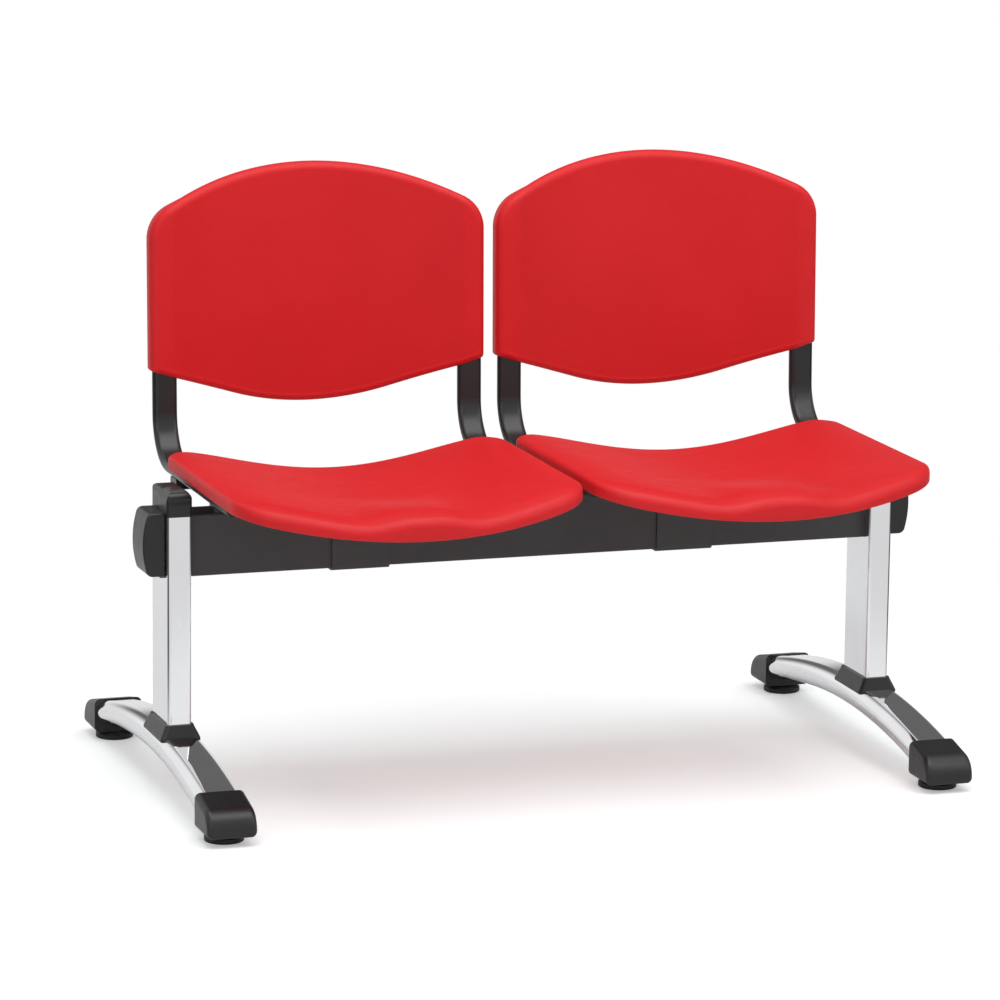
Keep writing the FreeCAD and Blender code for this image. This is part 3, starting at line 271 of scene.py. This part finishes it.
def stepped(tree, socket, low, high):
    """A soft step from 0 to 1 as a socket goes from one value to another."""
    return carried(tree, socket, (low, high), (0.0, 1.0), "SMOOTHSTEP")


def coordinates(tree, kind):
    """Where a point lies in its object, or which way it is seen in the world."""
    return tree.nodes.new("ShaderNodeTexCoord").outputs[kind]


def noise_value(tree, scale, detail=4.0, stretch=None):
    """A noise in the object's own metres, as a socket from 0 to 1."""
    source = coordinates(tree, "Object")
    if stretch is not None:
        mapping = tree.nodes.new("ShaderNodeMapping")
        mapping.inputs["Scale"].default_value = stretch
        tree.links.new(source, mapping.inputs["Vector"])
        source = mapping.outputs["Vector"]
    noise = tree.nodes.new("ShaderNodeTexNoise")
    noise.inputs["Scale"].default_value = scale
    noise.inputs["Detail"].default_value = detail
    tree.links.new(source, noise.inputs["Vector"])
    return noise.outputs["Fac"]


def clouded(tree, shader, cloud, first, second):
    """Gives a shader a colour that drifts between two as a noise does."""
    node = tree.nodes.new("ShaderNodeMix")
    node.data_type = "RGBA"
    node.inputs["A"].default_value = first
    node.inputs["B"].default_value = second
    tree.links.new(ranged(tree, cloud, 0.0, 1.0), node.inputs["Factor"])
    tree.links.new(node.outputs["Result"], shader.inputs["Base Color"])


def roughened(tree, shader, noise, low, high):
    """Gives a shader a roughness that varies between two values as a noise does."""
    tree.links.new(ranged(tree, noise, low, high), shader.inputs["Roughness"])


def bumped(tree, shader, height, strength, distance):
    """Gives a shader a relief."""
    node = tree.nodes.new("ShaderNodeBump")
    node.inputs["Strength"].default_value = strength
    node.inputs["Distance"].default_value = distance
    tree.links.new(height, node.inputs["Height"])
    tree.links.new(node.outputs["Normal"], shader.inputs["Normal"])


def moulded(name, colour, lighter, smooth, rough):
    """Satin moulded plastic with a fine leather-like grain and slightly uneven pigment."""
    material, tree, shader = new_material(name)
    clouded(tree, shader, noise_value(tree, PLASTIC_CLOUD, detail=3.0), colour, lighter)
    roughened(tree, shader, noise_value(tree, PLASTIC_WEAR), smooth, rough)
    shader.inputs["Specular IOR Level"].default_value = PLASTIC_SPECULAR
    cells = tree.nodes.new("ShaderNodeTexVoronoi")
    cells.inputs["Scale"].default_value = GRAIN_CELLS
    tree.links.new(coordinates(tree, "Object"), cells.inputs["Vector"])
    relief = combined(tree, "ADD", cells.outputs["Distance"], noise_value(tree, GRAIN_NOISE, detail=3.0))
    bumped(tree, shader, relief, GRAIN_STRENGTH, GRAIN_BUMP)
    return material


def painted(name, colour, lighter, roughness, grain, depth):
    """Powder coat or plain black plastic: a dark even colour with a fine orange-peel surface."""
    material, tree, shader = new_material(name)
    clouded(tree, shader, noise_value(tree, PAINT_CLOUD, detail=3.0), colour, lighter)
    smooth = roughness - ROUGHNESS_SPREAD
    rough = roughness + ROUGHNESS_SPREAD
    roughened(tree, shader, noise_value(tree, PAINT_WEAR), smooth, rough)
    shader.inputs["Specular IOR Level"].default_value = PAINT_SPECULAR
    bumped(tree, shader, noise_value(tree, grain, detail=2.0), depth, PAINT_BUMP)
    return material


def metal(name, colour, smooth, rough, stretch):
    """Plated steel with faint polishing marks, drawn out where the stretch is less than one."""
    material, tree, shader = new_material(name)
    shader.inputs["Metallic"].default_value = 1.0
    darker = (colour[0] * METAL_SHADE, colour[1] * METAL_SHADE, colour[2] * METAL_SHADE, 1.0)
    clouded(tree, shader, noise_value(tree, METAL_CLOUD, detail=2.0), colour, darker)
    roughened(tree, shader, noise_value(tree, METAL_MARKS, detail=3.0, stretch=stretch), smooth, rough)
    return material


MATERIALS = {
    "red_plastic": moulded("red_plastic", colour=srgb(201, 16, 23), lighter=srgb(205, 20, 27),
                           smooth=0.50, rough=0.56),
    "black_paint": painted("black_paint", colour=srgb(24, 24, 25), lighter=srgb(28, 28, 29),
                           roughness=0.30, grain=700.0, depth=0.10),
    "beam_paint": painted("beam_paint", colour=srgb(56, 56, 57), lighter=srgb(59, 59, 60),
                          roughness=0.55, grain=900.0, depth=0.15),
    "clamp_paint": painted("clamp_paint", colour=srgb(55, 55, 56), lighter=srgb(58, 58, 59),
                           roughness=0.50, grain=900.0, depth=0.15),
    "black_plastic": painted("black_plastic", colour=srgb(24, 24, 25), lighter=srgb(28, 28, 29),
                             roughness=0.35, grain=800.0, depth=0.12),
    "glide_plastic": painted("glide_plastic", colour=srgb(20, 20, 21), lighter=srgb(24, 24, 25),
                             roughness=0.45, grain=800.0, depth=0.10),
    "chrome": metal("chrome", colour=srgb(232, 232, 234), smooth=0.06, rough=0.10, stretch=(1.0, 1.0, 0.05)),
    "zinc_steel": metal("zinc_steel", colour=srgb(190, 190, 194), smooth=0.30, rough=0.42,
                        stretch=(1.0, 1.0, 1.0)),
}

for entry in frame["record"]["subparts"]:
    cad = nodes[entry["node"]]
    cad.data.materials.clear()
    cad.data.materials.append(MATERIALS[entry["material_slot"]])


def arc_points(centre, radius, start, finish, count):
    """Points on an arc from one angle to another in degrees, both ends included."""
    angles = np.radians(np.linspace(start, finish, count))
    return [(centre[0] + radius * math.cos(a), centre[1] + radius * math.sin(a)) for a in angles]


def line_points(start, finish, spacing):
    """Points inside a straight run, both ends left out."""
    start = np.array(start)
    finish = np.array(finish)
    count = max(int(np.linalg.norm(finish - start) / spacing), 2)
    return [tuple(start + (finish - start) * i / count) for i in range(1, count)]


def mirrored_outline(right_half):
    """A closed outline, symmetric left and right, from its right half listed anticlockwise."""
    left = [(-x, y) for x, y in reversed(right_half) if abs(x) > ON_MIDDLE]
    return np.array(list(right_half) + left)


def seat_outline():
    """The seat's plan: bowed front, straight sides and rear, four rounded corners."""
    bow_centre = SEAT_FRONT_Y + SEAT_BOW_RADIUS
    front_x = SEAT_HALF - SEAT_FRONT_CORNER
    front_y = bow_centre - math.sqrt((SEAT_BOW_RADIUS - SEAT_FRONT_CORNER) ** 2 - front_x ** 2)
    meet = math.degrees(math.atan2(front_y - bow_centre, front_x))
    rear_x = SEAT_HALF - SEAT_REAR_CORNER
    rear_y = SEAT_REAR_Y - SEAT_REAR_CORNER
    right = arc_points((0, bow_centre), SEAT_BOW_RADIUS, -90, meet, BOW_POINTS)
    right += arc_points((front_x, front_y), SEAT_FRONT_CORNER, meet, 0, SEAT_CORNER_POINTS)[1:]
    right += line_points((SEAT_HALF, front_y), (SEAT_HALF, rear_y), EDGE_SPACING)
    right += arc_points((rear_x, rear_y), SEAT_REAR_CORNER, 0, 90, SEAT_CORNER_POINTS)
    right += line_points((rear_x, SEAT_REAR_Y), (0, SEAT_REAR_Y), EDGE_SPACING)
    right.append((0.0, SEAT_REAR_Y))
    return mirrored_outline(right)


def back_outline():
    """The back's outline: arched top, rounded shoulders, straight sides and a shallow V below."""
    top_centre = BACK_TOP - BACK_TOP_RADIUS
    shoulder_x = BACK_HALF - BACK_SHOULDER
    shoulder_z = top_centre + math.sqrt((BACK_TOP_RADIUS - BACK_SHOULDER) ** 2 - shoulder_x ** 2)
    meet = math.degrees(math.atan2(shoulder_z - top_centre, shoulder_x))
    low_centre = BACK_BOTTOM + BACK_BOTTOM_RADIUS
    drop = low_centre - BACK_CORNER_HEIGHT
    slope = math.atan2(BACK_HALF, drop) - math.acos(BACK_BOTTOM_RADIUS / math.hypot(BACK_HALF, drop))
    turn = (BACK_BOTTOM_RADIUS * math.sin(slope), low_centre - BACK_BOTTOM_RADIUS * math.cos(slope))
    corner_x = BACK_HALF - BACK_CORNER
    along = (corner_x - turn[0] + BACK_CORNER * math.sin(slope)) / math.cos(slope)
    corner_z = turn[1] + along * math.sin(slope) + BACK_CORNER * math.cos(slope)
    meeting = (corner_x + BACK_CORNER * math.sin(slope), corner_z - BACK_CORNER * math.cos(slope))
    tilt = -90 + math.degrees(slope)
    right = arc_points((0, low_centre), BACK_BOTTOM_RADIUS, -90, tilt, BACK_LOW_POINTS)
    right += line_points(turn, meeting, LOW_EDGE_SPACING)
    right += arc_points((corner_x, corner_z), BACK_CORNER, tilt, 0, BACK_CORNER_POINTS)
    right += line_points((BACK_HALF, corner_z), (BACK_HALF, shoulder_z), EDGE_SPACING)
    right += arc_points((shoulder_x, shoulder_z), BACK_SHOULDER, 0, meet, SHOULDER_POINTS)
    right += arc_points((0, top_centre), BACK_TOP_RADIUS, meet, 90, BACK_TOP_POINTS)[1:]
    return mirrored_outline(right)


def outward_normals(outline):
    """Unit normals of a closed anticlockwise outline at its points."""
    tangent = np.roll(outline, -1, axis=0) - np.roll(outline, 1, axis=0)
    tangent /= np.linalg.norm(tangent, axis=1)[:, None]
    return np.stack([tangent[:, 1], -tangent[:, 0]], axis=1)


def edge_distance(points, outline):
    """How far each point is from the closed outline."""
    steps = np.roll(outline, -1, axis=0) - outline
    lengths = (steps ** 2).sum(axis=1)
    nearest = np.full(len(points), np.inf)
    for start, step, length in zip(outline, steps, lengths):
        share = np.clip(((points - start) @ step) / length, 0.0, 1.0)
        gap = points - start - share[:, None] * step
        nearest = np.minimum(nearest, (gap ** 2).sum(axis=1))
    return np.sqrt(nearest)


def eased(share):
    """A share from 0 to 1 that starts and ends softly."""
    return share * share * (3 - 2 * share)


def rolled(distance, roll):
    """How far a surface has dropped where its edge rolls over."""
    inside = np.clip(distance / roll, 0.0, 1.0)
    return roll * (1 - np.sqrt(1 - (1 - inside) ** 2))


def shrinking_shares(reach, roll):
    """Scale factors from 1 down to near 0: fine where the edge rolls over, wider inside."""
    depths = [roll * (1 - math.sin(math.radians(a))) for a in np.linspace(90, 0, ROLL_RINGS)]
    depths += list(np.linspace(roll * ROLL_PASSED, BAND_END, BAND_RINGS))
    depths += list(np.linspace(INNER_START, reach * INNER_REACH, INNER_RINGS))
    return [1 - depth / reach for depth in depths]


def rim_edge(wall):
    """How far in and how far up the points lie that round off a rim's edge."""
    return ((RIM_ROUND_PART, RIM_ROUND_PART), (RIM_ROUND, 0.0),
            (wall - RIM_ROUND, 0.0), (wall - RIM_ROUND_PART, RIM_ROUND_PART))


def ring_surface(rings, centre):
    """Points and faces of a surface through rings of equal length, closed at a centre point."""
    count = len(rings[0])
    points = np.concatenate(rings + [np.array([centre])])
    faces = []
    for base in range(0, (len(rings) - 1) * count, count):
        for i in range(count):
            j = (i + 1) % count
            faces.append((base + i, base + j, base + count + j, base + count + i))
    base = (len(rings) - 1) * count
    tip = len(rings) * count
    faces += [(base + i, base + (i + 1) % count, tip) for i in range(count)]
    return points, faces


def closed_skin(top_rings, top_centre, low_rings, low_centre):
    """One closed surface over the seen side, round the rim and across the hidden side."""
    top_points, top_faces = ring_surface(top_rings, top_centre)
    low_points, low_faces = ring_surface([top_rings[0]] + low_rings, low_centre)
    offset = len(top_points)
    faces = top_faces + [tuple(offset + i for i in reversed(face)) for face in low_faces]
    return np.concatenate([top_points, low_points]), faces


def seat_top(x, y):
    """The height of the seat's top at places measured from the chair's middle line."""
    across = np.minimum(np.abs(x) / (SEAT_HALF - SEAT_LEVEL_EDGE), 1.0)
    flare = 1 - (1 - across ** 2) ** SEAT_FLARE
    side = BEAM_TOP + SEAT_SIDE_RISE
    hollow = BEAM_TOP + SEAT_HOLLOW_RISE
    crest = BEAM_TOP + SEAT_FRONT_RISE + POMMEL_RISE * np.exp(-np.abs(x / POMMEL_SPREAD) ** 3)
    start = BEAM_Y - SEAT_HOLLOW_END
    finish = SEAT_FRONT_Y + SEAT_BOW_RADIUS - np.sqrt(SEAT_BOW_RADIUS ** 2 - x ** 2) + SEAT_CREST_INSET
    along = np.clip((y - start) / (finish - start), 0.0, 1.0)
    beyond = np.maximum(finish - y, 0.0) / SEAT_CREST_INSET
    middle = hollow + (crest - hollow) * eased(along)
    return middle + (side - middle) * flare - SEAT_FRONT_FALL * beyond ** 2


def rim_low(x, y):
    """The height of the rim's lower edge: a shallow arch, notched over the side tubes at the rear."""
    radius = (SEAT_HALF ** 2 + SEAT_RIM_SAG ** 2) / (2 * SEAT_RIM_SAG)
    arch = SEAT_RIM_LOW + radius - np.sqrt(radius ** 2 - x ** 2)
    over_tube = np.abs(np.abs(x) - TUBE_HALF_SPACING) < TUBE_HALF_WIDTH + NOTCH_SIDE_GAP
    at_rear = y > SEAT_REAR_Y - SEAT_REAR_CORNER
    return np.where(over_tube & at_rear, np.maximum(arch, TUBE_TOP + NOTCH_TOP_GAP), arch)


def seat_ring(flat, drop=0.0):
    """A ring on the seat's top, or some way below it."""
    return np.column_stack([flat, seat_top(flat[:, 0], flat[:, 1]) - drop])


def seat_mesh():
    """The seat's skin: dished top, rolled edge, turned-down rim and the hollow underside."""
    outline = seat_outline()
    normals = outward_normals(outline)
    middle = np.array([0.0, SEAT_MIDDLE_Y])
    roll = SEAT_ROLL + (SEAT_ROLL_SIDE - SEAT_ROLL) * normals[:, 0] ** 2
    top = []
    for share in shrinking_shares(SEAT_HALF, SEAT_ROLL):
        flat = middle + (outline - middle) * share
        top.append(seat_ring(flat, rolled(edge_distance(flat, outline), roll)))
    edge = top[0][:, 2]
    low = rim_low(outline[:, 0], outline[:, 1])
    under = []
    for share in SEAT_WALL_SHARES:
        under.append(np.column_stack([outline, edge + (low + RIM_ROUND - edge) * share]))
    for inset, lift in rim_edge(SEAT_RIM_WALL) + ((SEAT_RIM_WALL, RIM_ROUND),):
        under.append(np.column_stack([outline - normals * inset, low + lift]))
    for inset, skins in SEAT_FILLET.items():
        ring = seat_ring(outline - normals * (SEAT_RIM_WALL + inset), SEAT_SKIN * skins)
        ring[:, 2] = np.maximum(ring[:, 2], low + SEAT_RIM_CLEAR)
        under.append(ring)
    for share in np.linspace(UNDERSIDE_FIRST, UNDERSIDE_LAST, UNDERSIDE_RINGS):
        under.append(seat_ring(middle + (outline - middle) * share, SEAT_SKIN))
    height = seat_top(0.0, SEAT_MIDDLE_Y)
    top_centre = [0.0, SEAT_MIDDLE_Y, height]
    under_centre = [0.0, SEAT_MIDDLE_Y, height - SEAT_SKIN]
    return closed_skin(top, top_centre, under, under_centre)


def back_curve(x, depth):
    """How far behind the uprights' middle line the curve of the back's skin lies."""
    return depth - BACK_PLAN_RADIUS + np.sqrt(BACK_PLAN_RADIUS ** 2 - x ** 2)


def back_front(x):
    """The same for the front face, which runs over the sleeves with a soft crease."""
    skin = back_curve(x, BACK_HOLLOW)
    sleeve = -SLEEVE_HALF_DEPTH
    return (skin + sleeve + np.sqrt((skin - sleeve) ** 2 + 4 * CREASE_SOFTNESS ** 2)) / 2


def back_rear(x):
    """The same for the rear face, which steps out to the sleeves."""
    skin = back_curve(x, BACK_HOLLOW + BACK_SKIN)
    share = np.clip((np.abs(x) - (TUBE_HALF_SPACING - SLEEVE_HALF_WIDTH)) / SLEEVE_STEP, 0.0, 1.0)
    return skin + (SLEEVE_HALF_DEPTH - skin) * eased(share)


def back_ring(flat, depth):
    """A ring of the back, standing in the uprights' frame."""
    return np.column_stack([flat[:, 0], depth, flat[:, 1]])


def leaned(points):
    """Points in the uprights' frame, stood in their place with the uprights' lean."""
    height = points[:, 2] - UPRIGHT_FOOT_Z
    y = points[:, 1] * math.cos(UPRIGHT_LEAN) + height * math.sin(UPRIGHT_LEAN) + UPRIGHT_FOOT_Y
    z = -points[:, 1] * math.sin(UPRIGHT_LEAN) + height * math.cos(UPRIGHT_LEAN) + UPRIGHT_FOOT_Z
    return np.column_stack([points[:, 0], y, z])


def back_roll(outline, normals):
    """How widely the back's edge rolls over at each point of its outline."""
    upper = np.clip((outline[:, 1] - UPPER_FROM) / UPPER_SPAN, 0.0, 1.0)
    roll = BACK_ROLL_LOW + (BACK_ROLL - BACK_ROLL_LOW) * upper
    beside = np.clip((np.abs(outline[:, 0]) - SLEEVE_ROLL_FROM) / SLEEVE_ROLL_SPAN, 0.0, 1.0)
    return roll + (SLEEVE_HALF_DEPTH - roll) * beside * np.abs(normals[:, 0]) ** 2


def back_mesh():
    """The back's skin: curved front with soft creases at the sleeves, rolled edge and hollow rear."""
    outline = back_outline()
    normals = outward_normals(outline)
    middle = np.array([0.0, (BACK_TOP + BACK_BOTTOM) / 2])
    roll = back_roll(outline, normals)
    front = []
    for share in shrinking_shares(BACK_HALF, BACK_ROLL_REACH):
        flat = middle + (outline - middle) * share
        distance = edge_distance(flat, outline)
        below = np.clip((LIP_TOP - flat[:, 1]) / LIP_FADE, 0.0, 1.0)
        lip = LIP_HEIGHT * np.exp(-((distance - LIP_INSET) / LIP_WIDTH) ** 2) * below
        front.append(back_ring(flat, back_front(flat[:, 0]) + rolled(distance, roll) - lip))
    edge = front[0][:, 1]
    rim_end = np.maximum(back_front(outline[:, 0]) + BACK_RIM_DEPTH, SLEEVE_HALF_DEPTH)
    rear = []
    for share in BACK_WALL_SHARES:
        rear.append(back_ring(outline, edge + (rim_end - RIM_ROUND - edge) * share))
    for inset, lift in rim_edge(BACK_RIM):
        rear.append(back_ring(outline - normals * inset, rim_end - lift))
    for inset, share in BACK_FILLET.items():
        flat = outline - normals * (BACK_RIM + inset)
        rear.append(back_ring(flat, rim_end + (back_rear(flat[:, 0]) - rim_end) * share))
    depths = list(np.linspace(REAR_BAND_START, BAND_END, REAR_BAND_RINGS))
    depths += list(np.linspace(INNER_START, REAR_REACH, REAR_RINGS))
    for depth in depths:
        flat = middle + (outline - middle) * (1 - depth / BACK_HALF)
        rear.append(back_ring(flat, back_rear(flat[:, 0])))
    front_centre = [0.0, back_front(0.0), middle[1]]
    rear_centre = [0.0, back_rear(0.0), middle[1]]
    points, faces = closed_skin(front, front_centre, rear, rear_centre)
    return leaned(points), [tuple(reversed(face)) for face in faces]


def placed(name, data):
    """A new object in the scene for a mesh, a lamp or a camera."""
    piece = bpy.data.objects.new(name, data)
    bpy.context.scene.collection.objects.link(piece)
    return piece


def make_shells():
    """Both chairs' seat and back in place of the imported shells."""
    forms = {"seat_shell": seat_mesh(), "back_shell": back_mesh()}
    for chair, side in SIDES.items():
        place = np.array([side * SEAT_PITCH / 2, 0.0, 0.0])
        for form, (points, faces) in forms.items():
            name = chair + "_" + form + "_skin"
            mesh = bpy.data.meshes.new(name)
            mesh.from_pydata((points + place).tolist(), [], faces)
            mesh.shade_smooth()
            mesh.materials.append(MATERIALS["red_plastic"])
            piece = placed(name, mesh)
            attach(piece, "frame")
            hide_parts(chair + "_" + form)


def make_camera():
    """The camera that the photograph was taken with."""
    level = math.cos(CAMERA_ELEVATION)
    beside = math.sin(CAMERA_AZIMUTH) * level
    before = -math.cos(CAMERA_AZIMUTH) * level
    back = Vector((beside, before, math.sin(CAMERA_ELEVATION)))
    right = (-back).cross(Vector((0, 0, 1))).normalized()
    down = (-back).cross(right)
    across = math.cos(CAMERA_ROLL) * right + math.sin(CAMERA_ROLL) * down
    lower = -math.sin(CAMERA_ROLL) * right + math.cos(CAMERA_ROLL) * down
    turn = Matrix((across, -lower, back)).transposed()
    data = bpy.data.cameras.new("camera")
    data.sensor_width = CAMERA_SENSOR
    data.lens = CAMERA_LENS
    data.clip_end = CAMERA_SIGHT
    camera = placed("camera", data)
    camera.matrix_world = Matrix.Translation(CAMERA_TARGET + back * CAMERA_DISTANCE) @ turn.to_4x4()
    bpy.context.scene.camera = camera


def make_floor():
    """A pale floor that keeps the object's shadow and gives way to the white studio farther off."""
    material, tree, shader = new_material("floor")
    shader.inputs["Base Color"].default_value = FLOOR_COLOUR
    shader.inputs["Roughness"].default_value = FLOOR_ROUGHNESS
    shader.inputs["Specular IOR Level"].default_value = FLOOR_SPECULAR
    length = tree.nodes.new("ShaderNodeVectorMath")
    length.operation = "LENGTH"
    tree.links.new(coordinates(tree, "Object"), length.inputs[0])
    path = tree.nodes.new("ShaderNodeLightPath")
    looked_at = combined(tree, "MAXIMUM", path.outputs["Is Camera Ray"], path.outputs["Is Glossy Ray"])
    share = combined(tree, "MULTIPLY", stepped(tree, length.outputs["Value"], *FLOOR_FADE), looked_at)
    glow = tree.nodes.new("ShaderNodeEmission")
    lift = combined(tree, "MULTIPLY", path.outputs["Is Camera Ray"], FLOOR_LIFT)
    tree.links.new(lift, glow.inputs["Strength"])
    lifted = tree.nodes.new("ShaderNodeAddShader")
    tree.links.new(shader.outputs[0], lifted.inputs[0])
    tree.links.new(glow.outputs[0], lifted.inputs[1])
    mix = tree.nodes.new("ShaderNodeMixShader")
    tree.links.new(share, mix.inputs[0])
    tree.links.new(lifted.outputs[0], mix.inputs[1])
    tree.links.new(tree.nodes.new("ShaderNodeBsdfTransparent").outputs[0], mix.inputs[2])
    tree.links.new(mix.outputs[0], tree.nodes["Material Output"].inputs["Surface"])
    mesh = bpy.data.meshes.new("floor")
    square = ((-1, -1), (1, -1), (1, 1), (-1, 1))
    corners = [(x * FLOOR_REACH, y * FLOOR_REACH, FLOOR_LEVEL) for x, y in square]
    mesh.from_pydata(corners, [], [(0, 1, 2, 3)])
    mesh.materials.append(material)
    floor = placed("floor", mesh)


def studio_pattern(tree):
    """What mirror-like surfaces see: a white studio, dim behind on the right, with dark flags beside it."""
    split = tree.nodes.new("ShaderNodeSeparateXYZ")
    tree.links.new(coordinates(tree, "Generated"), split.inputs[0])
    x, y, z = (split.outputs[i] for i in range(3))
    above = stepped(tree, z, *HORIZON)
    dim = combined(tree, "MULTIPLY", stepped(tree, y, *DIM_BEHIND), stepped(tree, x, *DIM_RIGHT))
    dim = combined(tree, "MULTIPLY", dim, above)
    dim = combined(tree, "MULTIPLY", dim, stepped(tree, z, *DIM_BELOW))
    flags = stepped(tree, combined(tree, "ABSOLUTE", x, 0.0), *FLAGS_OUTSIDE)
    flags = combined(tree, "MULTIPLY", flags, stepped(tree, z, *FLAGS_BELOW))
    level = carried(tree, above, (0.0, 1.0), (GROUND_GLOW, 1.0))
    dark = combined(tree, "MULTIPLY", combined(tree, "MAXIMUM", dim, flags), DARKNESS)
    return combined(tree, "MULTIPLY", level, combined(tree, "SUBTRACT", 1.0, dark))


def make_world():
    """Soft even light; what the camera and mirror-like surfaces see of it is the white studio."""
    world = bpy.data.worlds.new("studio")
    world.use_nodes = True
    bpy.context.scene.world = world
    tree = world.node_tree
    background = tree.nodes["Background"]
    path = tree.nodes.new("ShaderNodeLightPath")
    mirrored = combined(tree, "MAXIMUM", path.outputs["Is Glossy Ray"], path.outputs["Is Transmission Ray"])
    looked_at = path.outputs["Is Camera Ray"]
    shown = combined(tree, "ADD", looked_at, combined(tree, "MULTIPLY", mirrored, studio_pattern(tree)))
    unseen = combined(tree, "SUBTRACT", 1.0, combined(tree, "MAXIMUM", mirrored, looked_at))
    strength = combined(tree, "ADD", shown, combined(tree, "MULTIPLY", unseen, AMBIENT))
    background.inputs["Color"].default_value = (1.0, 1.0, 1.0, 1.0)
    tree.links.new(strength, background.inputs["Strength"])


def area_light(name, place, width, height, power):
    """A soft rectangular lamp that faces the seats."""
    data = bpy.data.lights.new(name, "AREA")
    data.shape = "RECTANGLE"
    data.size = width
    data.size_y = height
    data.energy = power
    lamp = placed(name, data)
    lamp.location = place
    lamp.rotation_euler = (LAMP_AIM - Vector(place)).to_track_quat("-Z", "Y").to_euler()


make_camera()
make_shells()
make_floor()
make_world()
area_light("key", place=(2.6, -2.4, 2.9), width=2.2, height=2.2, power=22.0)
area_light("fill", place=(-3.2, -3.0, 2.2), width=2.6, height=2.0, power=16.0)
area_light("top", place=(0.0, -0.8, 3.3), width=3.4, height=2.6, power=84.0)

bpy.context.scene.view_settings.view_transform = "Standard"
